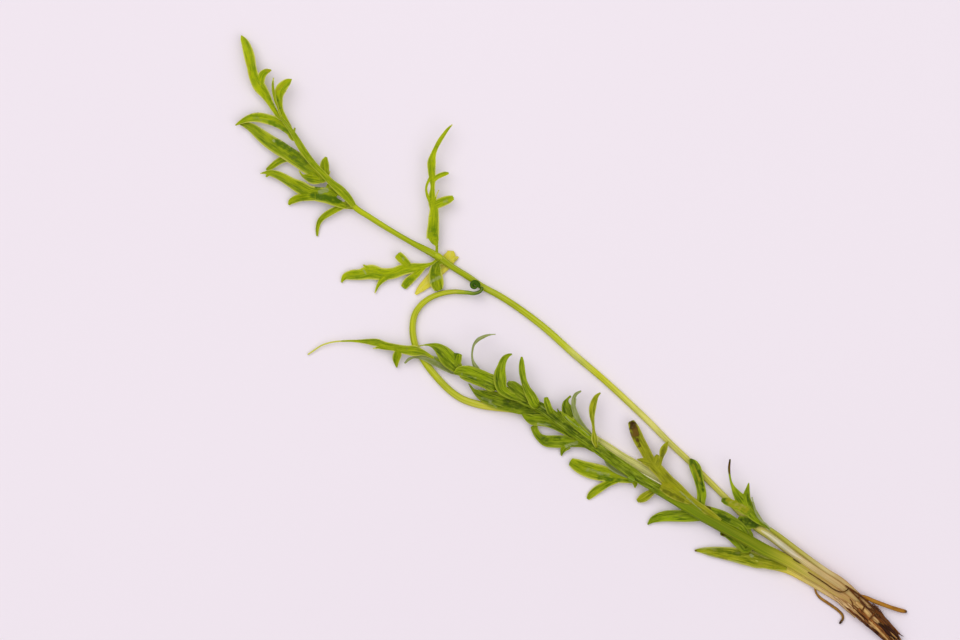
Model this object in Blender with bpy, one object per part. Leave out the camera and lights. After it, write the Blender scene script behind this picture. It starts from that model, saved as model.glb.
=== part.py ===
"""Water sprite: a whole uprooted plant of the water fern, lying flat as it was photographed.

Five fronds grow from one crown with a tuft of roots. Positions in the tables are millimetres: x to the
right and y up as the plant is seen from above, z up from the surface it lies on. The tables give the
course of each stalk, root and leaf blade; functions turn them into solids in metres.
"""
import math

import bmesh
import bpy
import numpy as np
from mathutils import Vector
from mathutils.geometry import delaunay_2d_cdt

# Driving dimensions
MM = 0.001
LEAF_THICKNESS = 0.5
LEAF_STEP = 2.3
FOLD_DEPTH = 0.12
STALK_SIDES = 8
STALK_STEP = 4.2
ROOT_SIDES = 6
ROOT_STEP = 2.4
ROOT_WIDTH = 1.15
END_ROUNDING = 0.6
TIP_ROUNDING = 0.7

# Stalks: (x, y, z, width, height) from the crown outwards
STALKS = {
    "long_frond_stalk": [
        (80.3, -72.4, 3.3, 1.8, 1.7), (76.0, -69.7, 3.3, 1.9, 1.8), (70.0, -65.7, 3.2, 2.0, 1.9),
        (65.0, -62.0, 3.0, 2.1, 2.0), (60.0, -58.0, 2.6, 2.2, 2.0), (55.4, -54.9, 1.9, 2.4, 2.0),
        (50.4, -50.4, 1.3, 2.2, 2.0), (46.4, -46.4, 1.15, 1.7, 1.8), (39.8, -39.8, 1.05, 1.5, 1.7),
        (35.2, -35.2, 1.0, 1.5, 1.7), (28.6, -28.9, 1.0, 1.6, 1.7), (23.1, -23.3, 1.0, 1.7, 1.8),
        (17.1, -17.6, 1.0, 1.8, 1.9), (8.2, -9.5, 1.05, 1.9, 1.9), (1.7, -4.0, 1.1, 2.0, 1.9),
        (-9.6, 6.0, 1.1, 2.0, 1.9), (-21.6, 14.4, 1.1, 1.9, 1.9), (-27.6, 17.7, 1.1, 1.9, 1.9),
        (-30.6, 19.8, 1.2, 1.9, 1.9), (-36.6, 23.6, 2.0, 1.9, 1.9), (-39.9, 26.0, 2.5, 2.2, 2.0),
        (-48.7, 30.8, 2.8, 1.6, 1.7), (-60.7, 38.1, 3.4, 1.8, 1.6), (-65.2, 41.4, 4.0, 2.0, 1.6),
        (-67.6, 43.8, 4.4, 1.7, 1.4), (-69.9, 45.9, 4.7, 1.8, 1.3), (-72.6, 48.4, 4.9, 1.8, 1.3),
        (-75.3, 51.3, 5.0, 1.7, 1.2), (-77.8, 53.9, 5.1, 1.6, 1.2), (-79.8, 56.6, 5.1, 1.5, 1.2),
        (-81.8, 59.8, 5.1, 1.4, 1.1), (-83.2, 62.4, 5.1, 1.2, 1.0), (-84.9, 65.0, 5.0, 0.9, 0.8),
        (-87.0, 67.6, 4.9, 0.6, 0.6),
    ],
    "leafy_frond_stalk": [
        (79.2, -74.1, 3.5, 1.9, 1.9), (75.0, -71.4, 3.6, 1.9, 1.9), (70.0, -68.2, 3.7, 2.0, 2.0),
        (65.0, -65.0, 3.9, 2.4, 2.2), (60.0, -62.6, 4.0, 3.0, 2.3), (57.9, -61.7, 4.0, 3.2, 2.4),
        (53.4, -59.2, 4.0, 3.3, 2.4), (44.4, -54.3, 4.0, 3.4, 2.4), (35.4, -49.2, 4.0, 3.4, 2.4),
        (30.9, -46.5, 4.0, 3.2, 2.3), (23.4, -42.1, 4.0, 3.0, 2.3), (20.4, -40.1, 4.0, 2.9, 2.2),
        (15.9, -37.0, 4.0, 2.6, 2.2), (12.0, -34.4, 4.0, 2.4, 2.1), (8.4, -31.9, 4.0, 2.2, 2.0),
        (5.4, -29.5, 4.0, 2.0, 1.9), (0.9, -26.4, 4.1, 1.7, 1.6), (-3.6, -23.1, 4.1, 1.5, 1.4),
        (-8.1, -19.8, 4.1, 1.4, 1.3), (-15.6, -16.2, 4.0, 1.2, 1.1), (-21.6, -13.2, 3.7, 1.0, 0.9),
        (-27.6, -10.2, 3.5, 0.9, 0.8), (-33.8, -8.4, 3.3, 0.6, 0.6),
    ],
    "short_frond_stalk": [
        (81.3, -71.0, 3.8, 1.1, 1.1), (76.1, -67.8, 4.1, 1.1, 1.1), (70.1, -63.5, 4.3, 1.1, 1.1),
        (66.1, -60.5, 4.4, 1.2, 1.1), (62.1, -57.4, 4.4, 1.2, 1.2), (59.1, -55.2, 4.3, 1.1, 1.1),
    ],
    "young_frond_stalk": [
        (79.9, -73.2, 1.1, 1.7, 1.6), (75.0, -70.1, 1.1, 1.7, 1.7), (70.0, -66.9, 1.1, 1.7, 1.8),
        (65.0, -64.2, 1.1, 1.8, 1.9), (57.0, -60.4, 1.1, 2.0, 1.9), (44.4, -52.3, 1.1, 2.2, 2.0),
        (35.4, -46.6, 1.1, 2.4, 2.0), (27.3, -41.4, 1.1, 2.5, 2.0), (21.3, -37.4, 1.1, 2.6, 2.0),
        (15.3, -34.0, 1.1, 2.6, 2.0), (9.9, -30.4, 1.1, 2.5, 2.0), (4.0, -27.0, 1.1, 2.4, 2.0),
        (-4.0, -23.3, 1.1, 2.3, 2.0), (-12.0, -20.4, 1.1, 2.2, 2.0), (-20.1, -19.3, 1.1, 2.2, 2.0),
        (-24.6, -18.8, 1.1, 2.2, 2.0), (-29.0, -17.9, 1.1, 2.2, 2.0), (-33.5, -16.2, 1.1, 2.1, 2.0),
        (-36.7, -13.9, 1.1, 2.1, 2.0), (-40.0, -10.6, 1.1, 2.1, 2.0), (-43.0, -7.0, 1.1, 2.1, 2.0),
        (-45.3, -3.6, 1.1, 2.0, 2.0), (-46.8, -0.9, 1.1, 2.0, 2.0), (-47.7, 2.7, 1.1, 2.0, 2.0),
        (-47.8, 5.7, 1.1, 1.95, 1.9), (-47.1, 9.0, 1.1, 1.9, 1.9), (-45.3, 11.7, 1.1, 1.8, 1.8),
        (-42.6, 13.8, 1.1, 1.7, 1.7), (-39.6, 15.0, 1.1, 1.6, 1.6), (-35.1, 15.7, 1.4, 1.4, 1.4),
        (-31.4, 15.4, 2.4, 1.2, 1.2), (-29.0, 15.2, 3.1, 1.1, 1.1), (-27.3, 16.0, 3.4, 1.0, 1.0),
    ],
    "basal_frond_stalk": [
        (78.3, -75.5, 1.2, 1.7, 1.9), (74.0, -72.8, 1.2, 1.9, 2.0), (70.0, -70.4, 1.2, 2.1, 2.0),
        (65.0, -67.6, 1.2, 2.4, 2.0), (60.0, -66.2, 1.3, 2.8, 2.0), (56.9, -65.5, 1.4, 3.0, 2.0),
    ],
}

# The fiddlehead at the young frond's tip: a flat coil whose rim touches the long stalk
CROZIER_CENTRE = (-29.5, 17.9, 3.6)
CROZIER_RADIUS = 1.65
CROZIER_HALF_HEIGHT = 0.9
CROZIER_SIDES = 16

# The crown, flattened underneath where it lies on the surface
CROWN = [
    (80.8, -74.2, 1.7, 5.4, 4.9), (83.3, -76.0, 1.9, 6.3, 5.9), (86.1, -78.4, 1.9, 6.8, 6.0),
    (88.1, -80.3, 1.8, 6.4, 5.6),
]
CROWN_SIDES = 12
CROWN_FLOOR = 0.0

# Roots: the tuft follows one axis, in layers of (height at the crown, height at the tips, side offsets)
TUFT_AXIS = [(89.3, -81.6), (92.6, -84.9), (95.8, -88.0), (98.6, -91.0)]
TUFT_LAYERS = [
    (0.75, 0.6, (-1.9, -0.5, 0.9, 2.4)),
    (2.25, 2.0, (-1.3, 0.1, 1.6)),
    (3.7, 3.2, (-0.5, 0.9)),
]
TUFT_SHORTENING = (0.0, 1.1, 0.4, 1.6, 0.7)
LOOSE_ROOTS = {
    "root_loose_thick": [
        (88.9, -75.2, 2.4, 1.1, 1.1), (90.5, -76.4, 2.3, 1.25, 1.2), (93.0, -77.8, 1.8, 1.25, 1.2),
        (96.0, -79.2, 1.3, 1.2, 1.2), (99.0, -80.1, 0.9, 1.2, 1.2), (100.7, -80.45, 0.7, 0.9, 0.9),
    ],
    "root_loose_hooked": [
        (73.4, -74.8, 0.7, 0.8, 0.7), (74.5, -76.2, 0.6, 0.95, 0.8), (75.9, -77.2, 0.5, 1.0, 0.8),
        (78.0, -78.6, 0.5, 1.0, 0.8), (80.0, -80.1, 0.5, 1.0, 0.8), (81.1, -81.3, 0.5, 1.0, 0.8),
        (81.4, -82.4, 0.5, 1.0, 0.8), (80.9, -83.3, 0.5, 0.9, 0.7), (80.3, -83.9, 0.5, 0.8, 0.6),
    ],
    "root_over_stalks": [
        (70.6, -68.3, 5.2, 0.34, 0.34), (73.0, -69.8, 5.0, 0.34, 0.34), (76.0, -71.8, 4.9, 0.36, 0.36),
        (79.0, -73.8, 4.9, 0.4, 0.4), (80.6, -74.35, 5.0, 0.4, 0.4), (82.2, -73.9, 5.0, 0.36, 0.36),
        (83.0, -73.1, 4.9, 0.3, 0.3),
    ],
}

# Leaf blades: runs of (x, y, z, width) from base to tip; a leaf's blades are fused, lobes and teeth with them
LONG_FROND_LEAVES = {
    "long_leaf_1": [
        [(-87.9, 68.1, 3.3, 1.1), (-89.2, 70.0, 3.3, 1.3), (-90.5, 72.2, 3.3, 1.6), (-92.0, 74.8, 3.4, 2.6),
         (-93.8, 77.3, 3.6, 3.5), (-95.3, 80.0, 3.6, 2.9), (-96.1, 83.0, 3.7, 2.6), (-96.7, 86.0, 3.6, 3.0),
         (-97.4, 88.5, 3.3, 2.7), (-98.1, 90.4, 2.9, 2.1), (-98.8, 91.8, 2.6, 1.3), (-99.2, 92.6, 2.4, 0.5)],
        [(-93.6, 77.2, 3.6, 2.2), (-93.3, 79.2, 3.7, 2.1), (-92.8, 80.8, 3.8, 2.1), (-91.7, 81.7, 3.8, 1.6),
         (-90.4, 82.1, 3.7, 0.6)],
    ],
    "long_leaf_2": [
        [(-84.5, 64.6, 3.95, 1.1), (-86.2, 67.4, 4.05, 1.6), (-87.4, 70.2, 4.3, 1.5),
         (-87.75, 72.6, 4.6, 1.8), (-87.8, 75.0, 4.8, 2.7), (-87.1, 76.6, 4.9, 3.1),
         (-86.0, 77.9, 4.9, 2.5), (-84.9, 78.8, 4.8, 1.6), (-84.2, 79.3, 4.7, 0.5)],
    ],
    "long_leaf_3": [
        [(-88.3, 71.2, 5.4, 0.5), (-88.8, 72.6, 5.6, 0.7), (-89.2, 74.2, 5.8, 0.8), (-89.55, 76.2, 5.9, 0.8),
         (-89.65, 78.0, 5.9, 0.6), (-89.5, 79.6, 5.9, 0.35)],
    ],
    "long_leaf_4": [
        [(-83.4, 61.7, 3.6, 1.6), (-84.7, 63.7, 3.2, 2.1), (-86.7, 65.4, 2.8, 2.5), (-89.0, 66.7, 2.6, 2.8),
         (-91.5, 67.5, 2.6, 2.8), (-94.0, 68.0, 2.6, 2.7), (-96.0, 67.9, 2.5, 2.3), (-98.0, 67.3, 2.4, 1.6),
         (-99.6, 66.5, 2.2, 1.0), (-101.0, 65.6, 2.1, 0.4)],
    ],
    "long_leaf_5": [
        [(-76.9, 51.4, 3.9, 2.4), (-79.2, 53.0, 3.8, 3.8), (-82.3, 55.4, 3.5, 4.0), (-85.4, 57.4, 3.2, 3.8),
         (-88.2, 59.1, 2.9, 3.9), (-91.0, 60.9, 2.6, 3.8), (-93.6, 62.9, 2.1, 3.2), (-96.0, 64.8, 1.6, 2.5),
         (-98.0, 65.8, 1.3, 1.6), (-99.6, 66.2, 1.2, 0.8)],
        [(-75.3, 49.3, 3.7, 2.0), (-76.6, 49.4, 3.8, 2.8), (-78.2, 49.4, 3.7, 2.5), (-79.6, 49.8, 3.5, 1.5),
         (-80.9, 50.6, 3.3, 0.7), (-81.8, 51.9, 3.1, 0.4)],
    ],
    "long_leaf_6": [
        [(-84.6, 56.0, 2.35, 1.7), (-86.8, 55.4, 2.05, 1.8), (-88.8, 54.3, 1.7, 1.7), (-90.3, 53.2, 1.2, 1.4),
         (-91.5, 52.4, 0.9, 0.9)],
    ],
    "long_leaf_7": [
        [(-66.6, 41.2, 2.6, 1.3), (-68.0, 41.5, 2.8, 1.7), (-69.4, 42.0, 2.95, 2.1), (-70.8, 43.0, 3.1, 3.4),
         (-73.0, 44.4, 3.2, 4.5), (-76.0, 44.9, 3.1, 4.1), (-79.0, 45.6, 2.9, 3.7), (-81.5, 47.0, 2.7, 3.7),
         (-84.0, 48.3, 2.5, 2.9), (-86.5, 49.8, 2.3, 2.5), (-88.8, 50.9, 2.1, 2.1), (-91.0, 51.4, 2.0, 1.5),
         (-92.3, 51.4, 1.9, 0.7), (-93.4, 51.2, 1.7, 0.35)],
        [(-77.0, 44.4, 3.0, 2.6), (-79.5, 44.2, 2.6, 2.3), (-81.8, 43.9, 2.0, 2.1), (-83.4, 43.3, 1.4, 1.9),
         (-84.5, 42.6, 1.0, 1.4), (-84.9, 42.0, 0.8, 0.8)],
        [(-90.9, 51.1, 2.0, 1.0), (-91.7, 50.3, 1.8, 0.6)],
    ],
    "long_leaf_8": [
        [(-68.6, 41.2, 2.1, 1.2), (-70.2, 40.7, 2.1, 1.6), (-71.8, 39.9, 2.0, 1.7), (-73.4, 39.0, 1.8, 1.7),
         (-74.8, 38.0, 1.5, 1.5), (-75.8, 36.8, 1.1, 1.3), (-76.3, 35.3, 0.8, 1.05), (-76.5, 33.8, 0.5, 0.85),
         (-76.5, 32.6, 0.4, 0.55)],
    ],
    "long_leaf_9": [
        [(-73.3, 49.9, 3.6, 1.2), (-73.9, 51.2, 3.7, 2.0), (-74.2, 53.0, 4.0, 2.6), (-74.1, 54.6, 4.4, 2.1),
         (-73.8, 55.8, 4.6, 0.9)],
    ],
}

# The pinna halfway up the long frond, with its dying yellow leaf
MIDDLE_LEAVES = {
    "middle_leaf_1": [
        [(-41.9, 31.5, 3.3, 3.3), (-41.8, 33.0, 3.4, 3.5), (-41.6, 35.5, 3.6, 3.2), (-41.5, 38.0, 3.8, 2.9),
         (-41.4, 40.5, 3.9, 2.4), (-41.9, 42.5, 4.0, 2.2), (-42.0, 44.5, 4.1, 1.8), (-41.8, 46.9, 4.2, 1.2),
         (-41.9, 49.5, 4.3, 1.7), (-42.1, 52.0, 4.4, 2.1), (-42.1, 54.5, 4.5, 2.3), (-41.6, 56.8, 4.6, 1.5),
         (-40.9, 58.6, 4.6, 1.2), (-39.7, 60.9, 4.6, 1.2), (-38.3, 63.0, 4.5, 1.0), (-37.0, 64.7, 4.3, 0.7),
         (-36.0, 65.7, 4.2, 0.35)],
        [(-40.55, 28.7, 2.9, 0.8), (-40.6, 30.0, 3.0, 0.9), (-40.8, 31.2, 3.2, 1.5), (-41.2, 33.0, 3.4, 2.2)],
        [(-42.6, 42.8, 4.0, 1.0), (-43.4, 44.6, 4.1, 0.8), (-43.75, 46.5, 4.2, 0.65),
         (-43.4, 48.1, 4.25, 0.7), (-42.5, 49.8, 4.3, 0.9)],
        [(-41.8, 48.8, 4.3, 1.2), (-40.4, 50.1, 4.3, 1.3), (-39.0, 50.75, 4.2, 1.3), (-37.9, 51.1, 4.1, 1.1),
         (-37.2, 51.2, 4.0, 0.7)],
        [(-41.6, 41.2, 3.9, 2.0), (-39.9, 42.2, 3.9, 2.6), (-38.2, 42.9, 3.8, 2.5), (-36.9, 43.4, 3.6, 2.1),
         (-35.9, 43.8, 3.5, 1.4)],
    ],
    "middle_leaf_2": [
        [(-42.0, 24.2, 1.5, 0.8), (-44.5, 23.4, 1.5, 1.5), (-47.5, 22.9, 1.5, 2.6), (-50.5, 22.4, 1.5, 3.1),
         (-53.5, 21.3, 1.5, 3.1), (-57.0, 21.0, 1.5, 3.4), (-60.5, 21.6, 1.4, 4.2), (-63.5, 20.9, 1.2, 3.1),
         (-66.3, 20.7, 1.0, 2.7), (-68.1, 20.2, 0.8, 1.8), (-68.9, 19.2, 0.6, 0.9), (-69.1, 18.6, 0.5, 0.5)],
        [(-61.0, 22.8, 1.3, 1.0), (-62.6, 23.7, 1.3, 0.4)],
        [(-49.0, 23.4, 1.5, 1.9), (-50.1, 24.6, 1.8, 2.3), (-51.2, 25.7, 2.1, 2.5), (-52.1, 26.6, 2.4, 2.3)],
        [(-56.0, 20.2, 1.5, 2.2), (-57.4, 18.8, 1.2, 1.4), (-58.4, 17.2, 0.9, 0.8), (-59.1, 15.4, 0.6, 0.35)],
        [(-44.2, 23.2, 1.5, 1.0), (-46.0, 21.6, 1.3, 1.7), (-48.0, 19.8, 1.0, 2.2), (-49.6, 18.3, 0.7, 2.3),
         (-50.4, 17.2, 0.5, 1.8)],
    ],
    "middle_leaf_3": [
        [(-40.3, 24.2, 2.0, 1.4), (-40.7, 23.2, 2.0, 2.6), (-41.0, 21.5, 2.0, 3.6), (-40.8, 19.5, 1.9, 4.0),
         (-40.4, 17.7, 1.8, 3.3), (-40.1, 16.6, 1.7, 2.1)],
    ],
    "middle_leaf_4_dying": [
        [(-36.4, 28.0, 0.6, 1.6), (-36.5, 26.8, 0.6, 3.0), (-37.0, 25.5, 0.6, 3.7), (-37.9, 24.0, 0.6, 3.4),
         (-39.2, 22.6, 0.6, 3.0), (-41.0, 21.0, 0.6, 3.1), (-42.7, 19.1, 0.6, 3.1), (-44.3, 17.6, 0.6, 2.6),
         (-45.8, 16.2, 0.5, 1.7), (-46.8, 15.1, 0.4, 0.8)],
        [(-37.2, 25.2, 0.6, 2.4), (-35.7, 25.4, 0.6, 1.7), (-34.9, 25.7, 0.6, 1.1), (-34.2, 26.1, 0.6, 0.5)],
    ],
}

# The leafy frond, from the crown outwards
LEAFY_FROND_LEAVES = {
    "leafy_leaf_1": [
        [(38.9, -48.4, 3.3, 1.7), (38.8, -46.8, 3.4, 2.4), (38.9, -45.0, 3.4, 2.6), (38.6, -43.0, 3.3, 2.5),
         (38.1, -41.0, 3.2, 2.6), (37.6, -39.0, 3.1, 2.9), (37.0, -37.2, 3.0, 3.1), (36.2, -35.7, 2.8, 2.4),
         (35.6, -34.8, 2.7, 1.0)],
    ],
    "leafy_leaf_2": [
        [(40.6, -52.3, 2.3, 1.6), (38.0, -51.7, 2.2, 2.8), (34.5, -51.6, 2.0, 3.3), (31.0, -51.6, 1.7, 3.2),
         (28.0, -51.7, 1.4, 3.0), (25.7, -52.2, 1.1, 2.4), (24.0, -53.0, 0.8, 1.5), (22.9, -54.1, 0.6, 0.5)],
    ],
    "leafy_leaf_3": [
        [(36.4, -46.9, 4.3, 1.4), (34.4, -45.2, 4.4, 2.0), (32.0, -43.3, 4.5, 2.5), (29.0, -40.9, 4.5, 3.0),
         (26.5, -38.2, 4.4, 2.9), (24.5, -36.1, 4.2, 2.7), (23.0, -34.1, 4.0, 2.4), (21.6, -31.6, 3.8, 2.4),
         (20.3, -29.2, 3.6, 3.0), (19.3, -27.0, 3.4, 3.1), (18.5, -25.0, 3.2, 2.7), (17.8, -23.5, 3.0, 1.9)],
        [(23.6, -35.9, 4.2, 1.6), (21.8, -35.1, 4.1, 1.2), (20.5, -34.9, 4.0, 0.8), (19.4, -35.0, 3.9, 0.45)],
        [(25.7, -37.0, 4.3, 1.4), (26.2, -34.9, 4.1, 0.8), (26.8, -33.2, 3.9, 0.95), (27.5, -31.6, 3.6, 1.2),
         (28.3, -30.3, 3.2, 1.0), (29.0, -29.2, 2.9, 0.4)],
        [(24.8, -36.2, 4.2, 1.6), (25.2, -34.6, 4.0, 1.4), (25.7, -33.5, 3.9, 0.7)],
    ],
    "leafy_leaf_4": [
        [(24.6, -44.1, 2.3, 1.4), (23.6, -44.7, 2.1, 1.9), (22.2, -45.7, 1.7, 2.5), (20.9, -46.5, 1.2, 2.2),
         (19.9, -47.0, 0.9, 1.2)],
    ],
    "leafy_leaf_5": [
        [(18.3, -40.7, 2.3, 1.3), (16.0, -40.4, 2.1, 1.8), (13.0, -39.8, 1.8, 3.1), (9.5, -38.9, 1.5, 4.4),
         (6.0, -38.1, 1.3, 4.6), (3.0, -37.1, 1.2, 4.0), (1.0, -36.1, 1.2, 3.2), (-0.1, -35.5, 1.3, 2.4)],
        [(13.6, -40.6, 1.8, 1.8), (10.5, -42.0, 1.3, 1.6), (8.5, -43.2, 0.9, 1.9), (6.8, -44.4, 0.6, 2.0),
         (5.5, -45.6, 0.4, 1.7), (4.95, -46.3, 0.35, 1.1)],
        [(18.4, -40.9, 2.2, 1.4), (19.0, -42.0, 2.0, 1.3), (18.9, -43.0, 1.8, 0.5)],
    ],
    "leafy_leaf_6": [
        [(18.2, -39.3, 2.45, 1.0), (15.8, -37.7, 2.4, 1.7), (13.2, -35.9, 2.45, 1.6),
         (11.3, -34.7, 2.45, 1.2), (9.8, -33.8, 2.45, 0.6)],
    ],
    "leafy_leaf_7": [
        [(7.0, -31.9, 2.4, 1.2), (4.0, -30.2, 2.3, 1.8), (1.0, -29.7, 2.1, 2.3), (-2.0, -29.3, 1.8, 3.4),
         (-5.0, -29.3, 1.4, 3.5), (-8.0, -29.0, 1.2, 3.1), (-9.8, -27.9, 1.2, 2.1), (-10.9, -26.3, 1.4, 1.8),
         (-11.4, -24.9, 1.6, 1.8)],
        [(-1.2, -30.4, 1.7, 2.4), (-2.5, -31.6, 1.2, 1.6), (-3.0, -32.7, 0.7, 0.9), (-3.1, -33.5, 0.5, 0.4)],
    ],
    "leafy_leaf_8": [
        [(7.3, -30.6, 5.6, 1.0), (6.8, -28.7, 5.5, 1.8), (6.5, -26.3, 5.2, 0.9), (6.3, -24.0, 5.0, 0.8),
         (6.0, -21.5, 4.9, 1.4), (6.15, -19.0, 4.9, 1.9), (6.7, -17.0, 4.8, 1.6), (7.4, -15.6, 4.6, 1.1),
         (8.4, -14.7, 4.4, 0.45)],
    ],
    "leafy_leaf_9": [
        [(5.0, -27.0, 4.2, 1.5), (3.8, -25.6, 4.2, 1.6), (2.1, -23.2, 4.3, 1.6), (1.0, -20.7, 4.4, 1.4),
         (0.4, -18.3, 4.4, 1.1), (0.5, -16.3, 4.3, 1.0), (1.2, -15.0, 4.2, 0.9), (2.6, -14.15, 4.0, 0.45)],
    ],
    "leafy_leaf_10": [
        [(2.2, -24.6, 3.3, 1.8), (0.6, -23.0, 3.3, 2.6), (-0.9, -20.9, 3.3, 3.3), (-1.6, -19.0, 3.3, 2.9),
         (-1.8, -17.7, 3.2, 1.8), (-1.3, -16.5, 3.1, 0.7), (-0.5, -15.7, 3.0, 0.6)],
    ],
    "leafy_leaf_11": [
        [(0.3, -27.6, 2.75, 1.2), (-2.5, -25.8, 2.75, 2.1), (-6.0, -23.9, 2.75, 2.6),
         (-9.5, -22.8, 2.75, 3.3), (-12.0, -22.6, 2.75, 3.0), (-13.6, -21.9, 2.75, 1.8),
         (-14.7, -21.2, 2.75, 0.7)],
    ],
    "leafy_leaf_12": [
        [(-6.4, -20.4, 5.2, 1.7), (-7.0, -19.0, 5.2, 1.7), (-7.6, -17.3, 5.1, 1.6), (-7.8, -16.3, 5.0, 1.2)],
    ],
    "leafy_leaf_13": [
        [(-10.6, -18.4, 6.2, 2.2), (-12.2, -15.8, 6.2, 2.8), (-13.6, -13.3, 6.1, 2.0),
         (-14.5, -10.8, 5.9, 1.6), (-14.95, -8.5, 5.7, 1.7), (-15.1, -6.2, 5.5, 1.45),
         (-15.1, -4.7, 5.4, 1.0), (-15.1, -4.0, 5.3, 0.6)],
    ],
    "leafy_leaf_14": [
        [(-12.9, -16.6, 5.3, 2.2), (-14.5, -15.2, 5.3, 3.2), (-16.5, -13.6, 5.3, 3.2),
         (-18.2, -12.2, 5.3, 2.4), (-19.0, -11.7, 5.3, 1.3)],
    ],
    "leafy_leaf_15": [
        [(-21.0, -13.4, 6.1, 2.9), (-21.6, -10.8, 6.0, 3.6), (-21.6, -8.6, 5.8, 3.2), (-21.2, -6.8, 5.6, 2.3),
         (-20.7, -5.2, 5.4, 1.9), (-20.0, -4.1, 5.3, 1.5), (-19.1, -3.4, 5.2, 1.0), (-18.2, -3.05, 5.1, 0.5)],
    ],
    "leafy_leaf_16": [
        [(-10.0, -19.3, 2.75, 1.2), (-12.0, -18.9, 2.75, 2.0), (-15.5, -18.4, 2.75, 3.6),
         (-19.0, -17.8, 2.75, 4.6), (-22.5, -16.9, 2.75, 4.8), (-25.5, -15.9, 2.7, 3.9),
         (-27.8, -15.0, 2.6, 2.4), (-29.4, -14.0, 2.5, 1.0), (-30.9, -12.0, 2.4, 0.35)],
    ],
    "leafy_leaf_17": [
        [(-22.4, -12.6, 4.8, 3.2), (-26.0, -10.8, 4.7, 4.6), (-29.0, -9.6, 4.7, 4.7), (-32.0, -8.6, 4.9, 4.2),
         (-34.0, -8.3, 5.2, 2.6), (-35.0, -8.7, 5.3, 1.0)],
    ],
    "leafy_leaf_18": [
        [(-28.4, -7.8, 3.6, 1.5), (-29.2, -6.4, 3.9, 1.1), (-29.85, -4.6, 4.3, 0.6), (-29.9, -2.2, 4.7, 0.5),
         (-29.4, -0.2, 5.0, 0.65), (-28.3, 1.2, 5.2, 0.95), (-26.5, 2.2, 5.2, 0.85), (-24.8, 2.75, 5.0, 0.5),
         (-23.1, 2.9, 4.8, 0.3)],
    ],
    "leafy_leaf_19": [
        [(-33.9, -7.6, 4.1, 2.6), (-35.5, -6.0, 4.1, 4.2), (-37.2, -4.2, 4.1, 4.8), (-38.8, -2.4, 4.0, 3.9),
         (-40.5, -1.0, 3.8, 2.4), (-42.5, -0.3, 3.5, 0.9), (-44.3, -0.3, 3.3, 0.4), (-45.8, -0.6, 3.2, 0.3)],
        [(-35.2, -6.4, 4.1, 3.0), (-34.6, -4.4, 4.3, 2.8), (-34.4, -3.3, 4.5, 2.6)],
    ],
    "leafy_leaf_20": [
        [(-35.6, -8.6, 2.7, 0.9), (-37.6, -7.1, 2.7, 2.2), (-40.0, -5.6, 2.75, 2.7), (-42.2, -4.7, 2.75, 2.4),
         (-44.2, -4.1, 2.8, 1.5), (-46.0, -3.9, 2.8, 1.0), (-47.5, -4.0, 2.6, 0.6), (-49.0, -4.6, 2.2, 0.8),
         (-50.1, -5.7, 1.8, 0.5)],
    ],
    "leafy_leaf_21": [
        [(-44.9, -2.5, 3.6, 1.6), (-47.0, -2.1, 3.6, 2.9), (-50.0, -1.75, 3.5, 2.4),
         (-53.0, -1.1, 3.2, 2.0), (-56.0, -0.4, 2.9, 1.9), (-58.5, 0.4, 2.6, 2.1), (-61.0, 0.7, 2.3, 1.5),
         (-64.0, 0.85, 2.0, 0.85), (-68.0, 0.9, 1.6, 0.5), (-72.0, 0.55, 1.2, 0.45),
         (-75.0, -0.35, 0.9, 0.45), (-77.3, -1.8, 0.6, 0.45), (-79.2, -3.1, 0.45, 0.4)],
        [(-53.0, -1.3, 3.2, 1.2), (-56.0, -1.15, 2.7, 1.1), (-58.3, -1.1, 2.4, 0.6),
         (-59.6, -1.35, 2.2, 0.3)],
        [(-51.9, -1.9, 3.2, 1.4), (-52.3, -3.0, 2.8, 2.3), (-52.7, -4.3, 2.3, 2.2), (-52.7, -5.7, 1.8, 1.3),
         (-52.6, -6.9, 1.4, 0.5)],
    ],
    "leafy_leaf_22": [
        [(51.0, -54.9, 4.0, 1.3), (48.5, -53.3, 4.2, 2.0), (45.5, -51.6, 4.3, 2.1), (42.6, -50.3, 4.4, 1.5),
         (40.3, -49.3, 4.5, 0.9)],
    ],
    "leafy_leaf_23": [
        [(52.2, -61.6, 2.2, 2.2), (50.3, -59.8, 2.2, 2.9), (48.4, -58.0, 2.2, 2.9), (46.4, -56.9, 2.1, 2.2),
         (44.9, -56.8, 2.0, 1.3)],
    ],
}

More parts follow.
